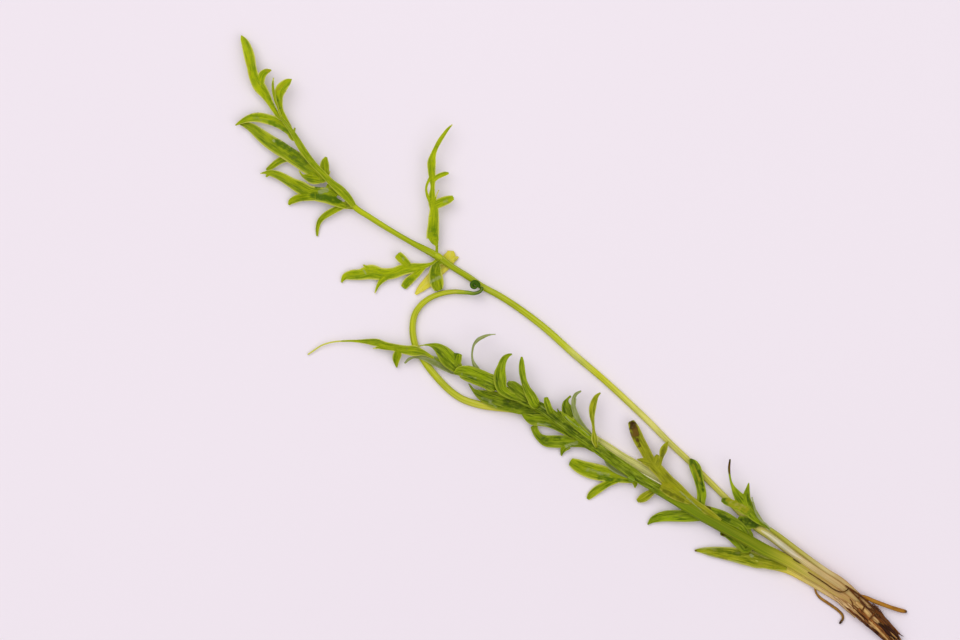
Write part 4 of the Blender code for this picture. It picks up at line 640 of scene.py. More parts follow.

# Marks on the leaves: kind, a short line from x, y to x, y, its reach to either side, its strength
# Dark marks are partly painted shade, pale ones partly painted glints; brown and yellow ones mark aged tissue
MARK_KINDS = ("brown", "pale", "dark", "yellow")
LEAF_MARKS_AND_PAINTED_LIGHT = {
    "long_leaf_1": [
        ("dark", -88.4, 69.6, -91.6, 75.4, 0.4, 0.4), ("yellow", -96.6, 80.5, -97.6, 86.0, 0.4, 0.5),
        ("yellow", -91.0, 82.0, -90.4, 82.2, 0.8, 0.5)],
    "long_leaf_2": [
        ("dark", -87.4, 68.5, -88.6, 74.6, 0.5, 0.6), ("yellow", -88.9, 75.4, -86.0, 78.9, 0.4, 0.6)],
    "long_leaf_4": [
        ("brown", -100.7, 65.8, -101.2, 65.6, 0.4, 0.45), ("pale", -90.0, 67.1, -96.0, 67.9, 0.5, 0.2),
        ("dark", -84.4, 63.2, -90.5, 66.6, 0.9, 0.55), ("dark", -91.5, 68.2, -96.5, 68.5, 0.5, 0.4)],
    "long_leaf_5": [
        ("dark", -82.4, 57.2, -88.4, 60.6, 1.1, 0.6), ("dark", -80.0, 54.4, -84.0, 56.4, 1.2, 0.5),
        ("pale", -89.6, 61.1, -89.3, 60.8, 0.35, 0.9), ("brown", -99.4, 66.1, -99.8, 66.2, 0.4, 0.4)],
    "long_leaf_7": [
        ("pale", -75.6, 45.7, -73.6, 46.2, 0.7, 1.0), ("pale", -72.8, 47.0, -72.6, 47.0, 0.3, 0.7),
        ("dark", -70.0, 43.0, -77.5, 44.6, 1.1, 0.8), ("dark", -74.5, 47.4, -76.5, 47.2, 0.7, 0.7)],
    "middle_leaf_2": [
        ("pale", -61.8, 21.0, -62.4, 22.2, 0.35, 0.7), ("pale", -50.4, 25.3, -50.8, 25.9, 0.4, 0.6),
        ("dark", -48.3, 19.6, -49.6, 18.3, 1.0, 0.5)],
    "middle_leaf_3": [
        ("pale", -42.4, 18.9, -39.6, 20.0, 0.55, 0.7), ("dark", -40.6, 23.5, -41.0, 21.5, 1.6, 0.45)],
    "middle_leaf_1": [
        ("dark", -41.6, 35.0, -41.2, 32.6, 0.8, 0.6), ("pale", -38.4, 42.6, -37.4, 43.2, 0.4, 0.5)],
    "middle_leaf_4_dying": [("brown", -37.6, 24.2, -37.8, 23.6, 0.4, 0.5)],
    "leafy_leaf_1": [
        ("yellow", 36.3, -36.4, 38.4, -41.0, 0.5, 0.5), ("dark", 36.0, -35.0, 37.4, -37.6, 1.0, 0.6),
        ("dark", 38.0, -38.0, 39.4, -44.0, 0.5, 0.8)],
    "leafy_leaf_3": [
        ("brown", 18.1, -23.9, 19.2, -27.0, 1.1, 0.95), ("brown", 19.4, -28.0, 20.2, -30.6, 0.6, 0.6),
        ("brown", 17.4, -25.4, 18.4, -28.4, 0.4, 0.7), ("dark", 27.6, -31.2, 27.0, -33.4, 0.6, 0.7),
        ("yellow", 26.6, -42.2, 30.0, -43.0, 0.9, 0.42), ("dark", 27.6, -44.0, 33.0, -46.9, 0.7, 0.7),
        ("pale", 32.3, -44.2, 38.6, -49.9, 0.22, 0.8)],
    "leafy_leaf_22": [
        ("brown", 41.0, -49.4, 40.2, -49.2, 0.7, 0.9), ("dark", 47.0, -52.6, 44.0, -51.0, 0.6, 0.7)],
    "leafy_leaf_5": [
        ("pale", 11.0, -39.4, 4.0, -37.6, 0.6, 0.5), ("dark", 8.0, -40.2, 14.0, -41.0, 0.7, 0.6)],
    "leafy_leaf_7": [
        ("pale", 1.5, -29.6, -1.6, -30.6, 0.5, 0.8), ("dark", -4.0, -28.3, -8.5, -28.6, 0.8, 0.6)],
    "leafy_leaf_11": [("pale", -10.2, -24.0, -6.6, -24.4, 0.4, 0.6)],
    "leafy_leaf_16": [
        ("pale", -27.0, -16.2, -24.5, -17.2, 0.5, 0.6), ("pale", -26.5, -16.2, -22.8, -18.9, 0.4, 0.4),
        ("dark", -13.0, -18.6, -20.0, -17.4, 1.2, 0.5)],
    "leafy_leaf_17": [("pale", -33.0, -9.0, -29.0, -10.2, 0.4, 0.3)],
    "leafy_leaf_20": [("dark", -36.5, -7.6, -40.5, -5.6, 0.6, 0.5)],
    "short_leaf_1": [
        ("brown", 47.2, -38.6, 47.2, -34.8, 0.5, 0.8), ("pale", 47.4, -47.4, 51.5, -48.8, 0.7, 0.35),
        ("yellow", 47.0, -47.2, 52.0, -49.4, 1.2, 0.6), ("dark", 45.4, -46.6, 46.6, -46.8, 0.6, 0.7),
        ("dark", 52.4, -45.0, 53.2, -48.0, 0.5, 0.6)],
    "leafy_frond_wing": [
        ("dark", -12.9, -16.9, -0.1, -25.4, 0.55, 0.6), ("dark", 1.8, -27.2, 9.5, -32.9, 0.5, 0.55),
        ("pale", -9.2, -18.6, -7.0, -20.2, 0.2, 0.8), ("dark", 14.0, -35.6, 21.0, -40.4, 0.5, 0.35),
        ("pale", -16.0, -15.4, -13.4, -16.4, 0.25, 0.6)],
    "leafy_frond_bract": [
        ("pale", -1.9, -21.9, 1.6, -24.9, 0.2, 0.9), ("pale", 2.2, -24.7, 5.0, -27.2, 0.2, 0.7)],
    "short_leaf_3": [("dark", 55.0, -54.0, 51.0, -53.2, 1.2, 0.7)],
    "basal_leaf": [
        ("pale", 53.8, -63.4, 54.2, -63.7, 0.5, 1.0), ("dark", 47.0, -62.8, 50.5, -63.4, 0.3, 1.0),
        ("brown", 37.2, -62.1, 37.0, -62.1, 0.35, 1.0), ("dark", 44.0, -62.2, 51.0, -62.9, 0.5, 0.5),
        ("yellow", 57.0, -66.3, 63.0, -67.2, 1.5, 0.4), ("pale", 39.5, -63.0, 45.2, -64.6, 0.3, 0.6),
        ("pale", 46.0, -64.9, 50.6, -65.7, 0.35, 0.5), ("pale", 38.6, -61.5, 44.4, -61.1, 0.25, 0.5),
        ("brown", 41.6, -63.6, 46.8, -64.7, 0.12, 0.6)],
    "leafy_leaf_23": [
        ("brown", 45.2, -56.9, 46.0, -57.0, 0.7, 0.8), ("yellow", 47.0, -57.2, 48.0, -57.4, 0.8, 0.5)],
}

# Stalks: each one's colours at places along x; its ribs, their depth, the groove along its top; how much
# its strands show, and the paler ones' colour; its material slot
PALE_STRAND, GREEN_STRAND = "#D0D27A", "#A8B024"
VESSEL_COLOUR = "#6F8A12"
STALK_LOOKS = {
    "long_frond_stalk": (
        [(91, "#9E743C"), (84, "#CCAA6C"), (76, "#DCC084"), (66, "#E4D096"), (57, "#D6C864"),
         (48, "#E0DA68"), (40, "#D4CC50"), (24, "#EAE47C"), (8, "#DEDE28"), (1, "#DEDF6C"),
         (-2.4, "#C8D21A"), (-16, "#BEC712"), (-30, "#ACBA0A"), (-46, "#ACBA0A"), (-57, "#C6D024"),
         (-66, "#C8D218"), (-86, "#96AD04")],
        9.0, 0.03, 0.0, 1.2, PALE_STRAND, "stalk_green"),
    "leafy_frond_stalk": (
        [(91, "#8E6030"), (86, "#BE9058"), (80, "#D6AC70"), (72, "#D8C066"), (65, "#C0B836"),
         (58, "#808C0A"), (48, "#667600"), (40, "#728402"), (30, "#829408"), (24, "#7A9206"),
         (0, "#6C8A02"), (-40, "#708E04")],
        9.0, 0.07, 0.16, 1.7, GREEN_STRAND, "stalk_green"),
    "young_frond_stalk": (
        [(86, "#C8A26A"), (74, "#E0CC8C"), (60, "#D0CA6C"), (40, "#CCC870"), (28, "#F4EEA8"),
         (18, "#ECE68C"), (10, "#E6E288"), (2, "#CED058"), (-8, "#D2CE44"), (-26, "#D8D43E"),
         (-36, "#C8CC30"), (-44, "#C8CE22")],
        9.0, 0.03, 0.0, 1.2, PALE_STRAND, "stalk_green"),
    "short_frond_stalk": (
        [(89, "#9E743C"), (83, "#D4B078"), (76, "#DCC888"), (68, "#C2B850"), (58, "#A0A418")],
        7.0, 0.04, 0.0, 1.2, PALE_STRAND, "stalk_green"),
    "basal_frond_stalk": (
        [(90, "#9A6E36"), (85, "#CCA66E"), (79, "#F0CC92"), (73, "#F2D688"), (66, "#F2DC5E"),
         (60, "#DCD42C"), (50, "#98A80C")],
        9.0, 0.04, 0.1, 1.2, PALE_STRAND, "stalk_pale"),
}

# Slight things on the stalks, each with its own colours: knobs, a ridge coloured as a painted highlight, a
# pale face, a dark line of painted shade where two stalks part, and the young frond's neck below its coil
STALK_DETAILS = {
    "leafy_stalk_knob": (
        [(18.9, -41.0, 4.9, 1.6, 1.2), (17.6, -40.2, 4.9, 1.8, 1.4), (16.6, -39.7, 4.8, 1.2, 1.0)],
        [(10, "#6E8A0A"), (20, "#7A9410")]),
    # A thin ridge along the leafy stalk, near white: a painted highlight along its crest
    "leafy_stalk_ridge": (
        [(10.0, -31.5, 4.3, 0.3, 0.3), (18.2, -37.2, 4.5, 0.4, 0.4), (27.0, -42.2, 4.5, 0.35, 0.3)],
        [(10, "#E6E4AE"), (26, "#F2EEC4")]),
    "long_stalk_pale_face": (
        [(56.0, -55.5, 2.85, 0.4, 0.2), (58.4, -56.9, 3.3, 1.1, 0.4), (62.2, -59.7, 3.62, 1.6, 0.6),
         (66.2, -62.7, 3.84, 1.4, 0.5), (70.6, -65.9, 3.98, 0.5, 0.3)],
        [(56, "#EADFA4"), (62, "#F0E4CC"), (70, "#E8D6B0")]),
    # A dark line along the leafy stalk's upper edge: painted shade in the gap where it parts from the next
    # stalk
    "stalk_split": (
        [(66.2, -64.4, 4.6, 0.3, 0.3), (67.3, -65.1, 4.6, 0.4, 0.3), (68.5, -65.8, 4.5, 0.25, 0.2)],
        [(60, "#4A4A10"), (70, "#5A5018")]),
    "young_frond_neck": (
        [(-35.1, 15.7, 1.4, 1.46, 1.46), (-31.4, 15.4, 2.4, 1.25, 1.25), (-29.0, 15.2, 3.1, 1.1, 1.1),
         (-27.3, 16.0, 3.4, 1.0, 1.0), (-26.9, 17.2, 3.5, 1.0, 1.0)],
        [(-36, "#CCD038"), (-33.5, "#A8B81C"), (-30.5, "#7E9A0C"), (-28.5, "#3E6404"),
         (-26.5, "#2E5602")]),
    "middle_node": (
        [(-41.4, 26.9, 3.0, 1.4, 1.2), (-40.2, 26.3, 3.1, 2.0, 1.5), (-38.8, 25.5, 3.0, 1.5, 1.3)],
        [(-42, "#B6C40C"), (-38, "#C2CC20")]),
}

# The coiled tip, wound inwards from the stalk's end: turns, and the values at its start and at its heart
COIL_CENTRE = (-29.25, 17.65)
COIL_POINTS = 110
COIL_START = -0.55
COIL_TURNS = 1.85
COIL_RADII = (1.35, 0.25)
COIL_TIGHTENING = 0.9
COIL_HEIGHTS = (3.5, 4.1)
COIL_WIDTHS = (1.1, 0.6)
COIL_DEPTH = 1.1
COIL_COLOURS = [(-34, "#3C6206"), (-28, "#2E5602"), (-25, "#4E7210")]
COIL_STRAND, COIL_PALE = "#1E4000", "#7E9A18"

# The crown's core, and the bundles that sheath it and run on as the root tuft
CROWN_ROUTE = [(79.6, -73.4, 1.9, 4.6, 3.6), (83.3, -76.2, 2.1, 5.6, 4.1), (86.6, -79.2, 2.1, 5.8, 4.1),
               (90.0, -82.5, 2.0, 5.2, 3.6), (92.4, -84.9, 1.9, 4.2, 3.0)]
SHEATH_ROUTE = [(79.4, -73.2, 2.3, 5.2, 3.6), (83.3, -76.2, 2.4, 6.0, 4.2), (87.0, -79.6, 2.3, 6.0, 4.0),
                (90.6, -83.1, 2.1, 5.4, 3.4), (93.6, -86.0, 2.0, 4.6, 2.9)]
TUFT_ROUTE = [(85.6, -78.2, 2.3, 5.6, 3.7), (88.6, -81.0, 2.2, 5.9, 3.7), (91.5, -83.5, 2.0, 5.5, 3.3),
              (94.2, -86.2, 1.9, 4.9, 3.0), (96.4, -88.5, 1.9, 4.5, 2.8), (98.3, -90.6, 1.8, 4.1, 2.5)]
# The tuft's middle line runs 45 degrees down to the right, so far to the upper right of the frame's middle
TUFT_SIDE = 5.6
# The thin core that the root hairs stand on, and where two loose roots start
FELT_ROUTE = [(89.6, -78.3, 3.0, 0.8, 0.8), (91.2, -79.8, 2.7, 0.9, 0.8), (93.0, -81.6, 2.4, 0.7, 0.7)]
ROOT_STARTS = {
    "root_loose_thick": [(86.3, -75.5, 2.6, 0.9, 0.9)],
    "root_loose_hooked": [(72.9, -73.2, 1.1, 0.6, 0.6)],
}

# Single strands that lie over the crown: dark ones along its edges and round it, black ones on its lower
# side and down the tuft, tan ones down its middle; and the splinters that stick out of the tuft
DARK_STRANDS = [
    [(81.9, -72.4, 4.3, 0.35, 0.3), (84.4, -74.0, 4.4, 0.45, 0.4), (87.0, -75.9, 3.9, 0.5, 0.4),
     (89.5, -78.1, 3.5, 0.6, 0.5), (92.3, -81.1, 2.9, 0.7, 0.6), (95.3, -83.9, 2.4, 0.6, 0.5),
     (98.6, -87.3, 1.9, 0.4, 0.4)],
    [(83.2, -73.6, 4.6, 0.4, 0.3), (86.2, -76.6, 4.4, 0.45, 0.4), (88.4, -79.0, 4.1, 0.55, 0.4),
     (91.6, -82.2, 3.6, 0.6, 0.5), (94.9, -85.2, 3.0, 0.5, 0.5), (97.9, -88.3, 2.5, 0.4, 0.4)],
    [(82.2, -78.4, 3.1, 0.3, 0.3), (83.2, -79.5, 3.3, 0.8, 0.6), (84.3, -80.4, 3.1, 0.8, 0.6),
     (85.3, -81.1, 3.0, 0.3, 0.3)],
    [(80.7, -77.4, 2.4, 0.25, 0.25), (82.3, -78.9, 3.2, 0.6, 0.5), (84.4, -80.8, 3.3, 0.8, 0.6),
     (87.2, -82.9, 3.1, 0.7, 0.5), (89.6, -85.2, 2.6, 0.5, 0.4), (92.6, -88.0, 2.1, 0.4, 0.35),
     (94.6, -89.6, 1.8, 0.3, 0.3)],
    [(82.6, -77.2, 4.0, 0.2, 0.2), (84.6, -79.3, 3.9, 0.45, 0.4), (86.6, -81.2, 3.8, 0.5, 0.4),
     (89.0, -83.3, 3.4, 0.6, 0.5), (92.0, -86.2, 2.8, 0.4, 0.4)],
    [(84.4, -78.3, 4.5, 0.3, 0.3), (87.6, -81.2, 4.2, 0.45, 0.4), (91.0, -84.6, 3.6, 0.5, 0.4),
     (94.6, -88.2, 3.0, 0.4, 0.4)],
]
BLACK_STRANDS = [
    [(86.9, -81.8, 3.4, 0.25, 0.25), (87.8, -82.5, 3.4, 0.8, 0.6), (88.5, -83.5, 3.1, 0.5, 0.5),
     (89.0, -84.5, 2.8, 0.8, 0.6), (89.8, -85.2, 2.6, 0.3, 0.3)],
    [(90.4, -85.4, 2.6, 0.3, 0.3), (91.3, -86.5, 2.5, 0.8, 0.6), (92.6, -87.8, 2.2, 0.6, 0.5),
     (93.6, -88.9, 1.9, 0.3, 0.3)],
    [(91.8, -83.7, 4.0, 0.3, 0.25), (93.1, -84.9, 3.8, 0.9, 0.6), (94.6, -86.4, 3.5, 1.1, 0.6),
     (97.0, -88.8, 2.8, 0.6, 0.5)],
    [(93.4, -83.9, 3.8, 0.3, 0.25), (94.9, -85.2, 3.5, 0.8, 0.5), (97.0, -87.2, 2.9, 0.8, 0.5),
     (98.4, -88.8, 2.4, 0.4, 0.3)],
]
WRAPPING_STRANDS = [
    [(83.2, -76.3, 4.7, 0.25, 0.25), (83.9, -77.3, 4.8, 0.35, 0.3), (84.2, -78.6, 4.3, 0.35, 0.3),
     (84.5, -80.2, 2.6, 0.3, 0.3)],
    [(87.9, -77.9, 4.2, 0.3, 0.3), (87.4, -79.2, 4.8, 0.4, 0.35), (86.7, -80.6, 4.4, 0.4, 0.35),
     (86.2, -81.9, 3.0, 0.3, 0.3)],
    [(91.2, -80.2, 3.6, 0.35, 0.3), (90.0, -81.6, 4.3, 0.5, 0.4), (88.8, -83.0, 3.8, 0.5, 0.4),
     (88.2, -84.2, 2.4, 0.4, 0.35)],
    [(85.9, -74.6, 4.1, 0.3, 0.3), (86.2, -76.6, 4.9, 0.35, 0.3), (87.6, -78.4, 4.8, 0.4, 0.35),
     (89.6, -79.6, 4.3, 0.35, 0.3)],
    [(88.9, -82.8, 3.6, 0.3, 0.3), (90.2, -81.2, 4.3, 0.35, 0.3), (90.9, -80.4, 3.8, 0.3, 0.3)],
]
TAN_STRANDS = [
    [(85.0, -77.2, 4.5, 1.0, 0.6), (87.6, -79.7, 4.3, 1.3, 0.7), (89.6, -82.3, 3.8, 1.0, 0.6)],
    [(88.6, -82.4, 3.9, 0.5, 0.4), (90.2, -84.0, 3.8, 1.1, 0.7), (92.6, -86.4, 3.35, 1.0, 0.7),
     (94.8, -88.6, 2.9, 0.9, 0.6), (96.2, -90.2, 2.4, 0.6, 0.4)],
    [(84.4, -79.4, 3.9, 0.8, 0.5), (87.0, -81.4, 3.5, 1.0, 0.6), (89.4, -83.3, 3.0, 0.6, 0.5)],
]
SPLINTERS = [
    [(92.6, -81.7, 2.2, 0.5, 0.4), (95.0, -83.6, 1.9, 0.4, 0.35), (97.0, -85.7, 1.7, 0.15, 0.15)],
    [(94.6, -84.4, 1.8, 0.5, 0.4), (97.6, -86.6, 1.5, 0.4, 0.35), (99.6, -87.9, 1.3, 0.15, 0.15)],
    [(90.2, -77.8, 2.9, 0.35, 0.3), (92.4, -79.9, 2.5, 0.3, 0.3), (93.9, -81.9, 2.2, 0.12, 0.12)],
]

# Roots and crown: each material's skin, its darker and its paler colour
ROOT_COLOURS = {
    "crown_skin": ("#CAA46C", "#885E2A", "#DEC08C"),
    "dry_stalk_bases": ("#D8B680", "#8E642C", "#ECD4A4"),
    "tan_strand": ("#D2AC6C", "#A67A3C", "#E6CC98"),
    "dark_strand": ("#744214", "#42200A", "#946020"),
    "dead_root_strand": ("#3E1C0A", "#220E04", "#5C3212"),
    "root_skin": ("#965C26", "#3C1C0A", "#D8A860"),
    "root_hair": ("#7A6450", "#4A3424", "#A08C74"),
    "root_loose_thick_skin": ("#B07A24", "#8A5A16", "#C8963C"),
    "root_loose_hooked_skin": ("#A87C30", "#744E14", "#BC944C"),
    "root_over_stalks_skin": ("#704C12", "#4A300A", "#8A6428"),
}
# The loose roots' dark tips, in metres: x, y, z, and how far from there the root is dark
ROOT_TIPS = {
    "root_loose_thick": ((0.1009, -0.0806, 0.0007), 0.0016),
    "root_loose_hooked": ((0.0800, -0.0843, 0.0005), 0.0034),
    "root_over_stalks": ((0.0830, -0.0730, 0.0049), 0.0016),
}
# Bundles of strands along a route: points on it, how many, their diameters in metres, how far they wander,
# how late they may start and how early end (shares of the route), the seed of their places, their sides
BUNDLES = {
    "crown_sheath": (SHEATH_ROUTE, 40, 44, (0.0005, 0.0012), 0.0006, (0.25, 0.6), 11, 8),
    "root_tuft": (TUFT_ROUTE, 46, 110, (0.00026, 0.0011), 0.0011, (0.45, 0.3), 4, 7),
}
# Single strands: routes, material, slot
BANDS = {
    "crown_tan_strands": (TAN_STRANDS, "tan_strand", "crown_tan"),
    "crown_black_strands": (BLACK_STRANDS, "dead_root_strand", "root_brown"),
    "crown_dark_strands": (DARK_STRANDS, "dark_strand", "root_brown"),
    "crown_wraps": (WRAPPING_STRANDS, "dark_strand", "root_brown"),
    "root_splinters": (SPLINTERS, "dark_strand", "root_brown"),
}
HAIR_DENSITY = 9.0e6
HAIR_LENGTH = 0.0013
HAIR_RADIUS = 0.00004
HAIR_SEED = 3


# Node kinds that are used often
MATH = "ShaderNodeMath"
VECTOR = "ShaderNodeVectorMath"
RANGE = "ShaderNodeMapRange"
STORE = "GeometryNodeStoreNamedAttribute"
NAMED = "GeometryNodeInputNamedAttribute"


def from_hex(text):
    """A colour written as sRGB hex, turned linear."""
    levels = [int(text[i:i + 2], 16) / 255 for i in (1, 3, 5)]
    return (*(v / 12.92 if v <= 0.04045 else ((v + 0.055) / 1.055) ** 2.4 for v in levels), 1.0)


def add(tree, kind, inputs=(), output=0, **settings):
    """Adds a node and gives back one of its outputs. `inputs` are its sockets in order, or by name or
    number, each a value or another node's output."""
    made = tree.nodes.new(kind)
    for key, value in settings.items():
        setattr(made, key, value)
    for key, value in (inputs if isinstance(inputs, dict) else dict(enumerate(inputs))).items():
        if isinstance(value, bpy.types.NodeSocket):
            tree.links.new(value, made.inputs[key])
        else:
            made.inputs[key].default_value = value
    return made.outputs[output]


def maths(tree, operation, *values):
    return add(tree, MATH, values, operation=operation)


def vectors(tree, operation, *values):
    return add(tree, VECTOR, values, operation=operation)


def scaled(tree, vector, factor):
    return add(tree, VECTOR, {0: vector, 3: factor}, operation="SCALE")


def ranged(tree, value, limits):
    """What a value becomes between the limits given as (from, to, least, most)."""
    return add(tree, RANGE, (value, *limits))


def noise(tree, place, scale, detail, output=0):
    return add(tree, "ShaderNodeTexNoise", {"Vector": place, "Scale": scale, "Detail": detail}, output)


def stretched(tree, course, scale, detail):
    """Noise over a course along and across a piece, stretched differently either way."""
    return noise(tree, vectors(tree, "MULTIPLY", course, scale), 1.0, detail)


def attribute(tree, name, output=0):
    return add(tree, "ShaderNodeAttribute", output=output, attribute_name=name)


def mixed(tree, share, base, tint, **settings):
    """A share of `tint` over `base`. A colour is a hex text or a node's output."""
    base, tint = (from_hex(side) if isinstance(side, str) else side for side in (base, tint))
    return add(tree, "ShaderNodeMix", {0: share, 6: base, 7: tint}, output=2, data_type="RGBA", **settings)


def layered(tree, colour, layers):
    """The colour under each of the layers in turn, given as (share, tint)."""
    for share, tint in layers:
        colour = mixed(tree, share, colour, tint)
    return colour


def new_material(name):
    """A material, its node tree and its shader."""
    made = bpy.data.materials.new(name)
    made.use_nodes = True
    return made, made.node_tree, made.node_tree.nodes["Principled BSDF"]


def coat(tree, shader, colour, height, bump, skin):
    """Gives a shader its colour, its relief as a bump, and its roughness and specular level."""
    strength, depth = bump
    normal = add(tree, "ShaderNodeBump", {"Strength": strength, "Distance": depth, "Height": height})
    tree.links.new(colour, shader.inputs["Base Color"])
    tree.links.new(normal, shader.inputs["Normal"])
    shader.inputs["Roughness"].default_value, shader.inputs["Specular IOR Level"].default_value = skin
    return normal


def let_through(tree, shader, colour, normal, share):
    """Makes the coat that of wet tissue, which lets a share of the light through, tinted."""
    shader.inputs["IOR"].default_value = WET_IOR
    back = add(tree, "ShaderNodeBsdfTranslucent", {"Color": colour, "Normal": normal})
    both = add(tree, "ShaderNodeMixShader", (share, shader.outputs[0], back))
    tree.links.new(both, tree.nodes["Material Output"].inputs["Surface"])


def leaf_material(name, blade, deep, edge, vein, streaked):
    """Fern blade: a thin, soft, waxy sheet that lets light through, netted with fine veins, streaked
    lengthwise, often with one half in painted shade, and yellower at its margin. Some of its marks are
    painted shade and painted glints."""
    made, tree, shader = new_material(name)
    course = attribute(tree, "course", "Vector")
    marks = attribute(tree, "marks")
    place = add(tree, "ShaderNodeTexCoord", output="Object")
    _, across, reach = add(tree, "ShaderNodeSeparateXYZ", (course,)).node.outputs
    brown, pale, dark = add(tree, "ShaderNodeSeparateColor", (marks,)).node.outputs
    yellow = marks.node.outputs["Alpha"]

    streaks = stretched(tree, course, *STREAK_NOISE)
    threads = stretched(tree, course, *THREAD_NOISE)
    clouds = noise(tree, place, *CLOUD_NOISE)
    slow = noise(tree, place, *SHADED_HALF_NOISE)
    veins = add(tree, "ShaderNodeTexVoronoi",
                {"Vector": vectors(tree, "MULTIPLY", course, NET_SCALE), "Scale": 1.0},
                feature="DISTANCE_TO_EDGE")
    streak = ranged(tree, streaks, STREAK_RANGE)
    cloud = ranged(tree, clouds, CLOUD_RANGE)
    thread = ranged(tree, threads, (*THREAD_RANGE, streaked))
    furrow = ranged(tree, threads, (*FURROW_RANGE, streaked))
    line = ranged(tree, veins, NET_RANGE)
    margin = ranged(tree, reach, MARGIN_RANGE)
    rib = ranged(tree, maths(tree, "ABSOLUTE", across), RIB_RANGE)

    # Painted shade on the half that folds away from the light; which half it is changes along the blade
    leaning = maths(tree, "SUBTRACT", ranged(tree, across, SIDE_RANGE), ranged(tree, slow, SHADED_HALF_RANGE))
    darker = maths(tree, "MULTIPLY", maths(tree, "ABSOLUTE", leaning), SHADED_HALF_STRENGTH)

    # Marks keep a ragged rim; brown ones are scorched in part, dark ones are partly painted shade
    shift = ranged(tree, noise(tree, place, *RAGGED_NOISE), RAGGED_RANGE)
    brown, pale, dark, yellow = (ranged(tree, maths(tree, "ADD", mark, shift), MARK_RANGE)
                                 for mark in (brown, pale, dark, yellow))
    # Pale marks are partly painted glints, and carry a streaky painted highlight
    painted_glint = maths(tree, "MULTIPLY", pale, ranged(tree, threads, PAINTED_GLINT_RANGE))
    scorch = maths(tree, "MULTIPLY", ranged(tree, brown, SCORCH_RANGE), ranged(tree, clouds, SCORCH_CLOUDS))
    colour = layered(tree, blade, [
        (cloud, deep), (streak, blade), (darker, deep), (furrow, deep), (thread, vein), (line, vein),
        (rib, vein), (margin, edge), (dark, deep), (yellow, YELLOWED), (brown, BROWNED),
        (scorch, SCORCHED), (painted_glint, PAINTED_GLINT)])
    normal = coat(tree, shader, colour, maths(tree, "ADD", line, streaks), LEAF_BUMP, LEAF_SKIN)
    let_through(tree, shader, mixed(tree, BACKLIT_SHARE, colour, BACKLIT), normal, LEAF_THROUGH)
    return made


def stalk_material(name, stops, strand=VESSEL_COLOUR, pale=PALE_STRAND, contrast=1.0):
    """Fern stalk: smooth, juicy and slightly see-through, with strands of vessels showing as fine lines,
    and its own colours along x, which `stops` give in millimetres. Its flanks and underside carry painted
    shade."""
    made, tree, shader = new_material(name)
    strands = attribute(tree, "strand", "Vector")
    place = add(tree, "ShaderNodeTexCoord", output="Object")
    reach = ranged(tree, add(tree, "ShaderNodeSeparateXYZ", (place,)), (-STALK_REACH * MM, STALK_REACH * MM))
    graded = add(tree, "ShaderNodeValToRGB", (reach,))
    ramp = graded.node.color_ramp
    stops = sorted(stops)
    while len(ramp.elements) < len(stops):
        ramp.elements.new(0.5)
    for element, (x, _) in zip(ramp.elements, stops):
        element.position = (x + STALK_REACH) / (2 * STALK_REACH)
    for element, (_, tint) in zip(ramp.elements, stops):
        element.color = from_hex(tint)

    lines = stretched(tree, strands, *VESSEL_NOISE)
    clouds = stretched(tree, strands, *PATCH_NOISE)
    down = ranged(tree, attribute(tree, "crest", "Fac"), FLANK_SHADE_RANGE)
    aged = ranged(tree, reach, OLD_RANGE)
    strand = mixed(tree, aged, strand, OLD_STRAND)
    colour = layered(tree, graded, [
        (ranged(tree, lines, (*VESSEL_RANGE, VESSEL_STRENGTH * contrast)), strand),
        (ranged(tree, lines, (*PALE_RANGE, PALE_STRENGTH * contrast)), pale),
        (ranged(tree, clouds, PATCH_RANGE), strand)])
    # Painted shade: flanks and underside multiplied by a shade tint
    colour = mixed(tree, down, colour, mixed(tree, aged, FLANK_SHADE, OLD_FLANK_SHADE), blend_type="MULTIPLY")
    normal = coat(tree, shader, colour, lines, STALK_BUMP, STALK_SKIN)
    let_through(tree, shader, colour, normal, STALK_THROUGH)
    return made


def root_material(name, tip=None, tuft_side=None):
    """Root skin: dry to the eye, corky, streaked lengthwise, each strand lighter or darker than the next.
    It darkens near `tip`, a place and a reach, and where strands lie off the line `tuft_side` across.
    Each strand's underside carries painted shade."""
    skin, dark, pale = ROOT_COLOURS[name]
    made, tree, shader = new_material(name)
    lines = stretched(tree, attribute(tree, "strand", "Vector"), *CORK_NOISE)
    own = add(tree, "ShaderNodeTexWhiteNoise", {"W": attribute(tree, "number", "Fac")},
              noise_dimensions="1D")
    place = add(tree, "ShaderNodeTexCoord", output="Object")
    layers = [(ranged(tree, own, OWN_RANGE), pale), (ranged(tree, lines, CORK_RANGE), dark),
              # painted shade on each strand's underside
              (ranged(tree, attribute(tree, "crest", "Fac"), UNDERSIDE_SHADE_RANGE), dark)]
    if tuft_side is not None:
        across = add(tree, VECTOR, (place, ACROSS_TUFT), output="Value", operation="DOT_PRODUCT")
        aside = maths(tree, "SUBTRACT", across, tuft_side)
        layers += [(ranged(tree, aside, limits), dark) for limits in (UPPER_SIDE_RANGE, LOWER_SIDE_RANGE)]
    if tip is not None:
        spot, far = tip
        gap = add(tree, VECTOR, (place, spot), output="Value", operation="DISTANCE")
        layers.append((ranged(tree, gap, (far, far * TIP_CORE, 0.0, TIP_STRENGTH)), ROOT_TIP))
    coat(tree, shader, layered(tree, skin, layers), lines, ROOT_BUMP, ROOT_SKIN)
    return made


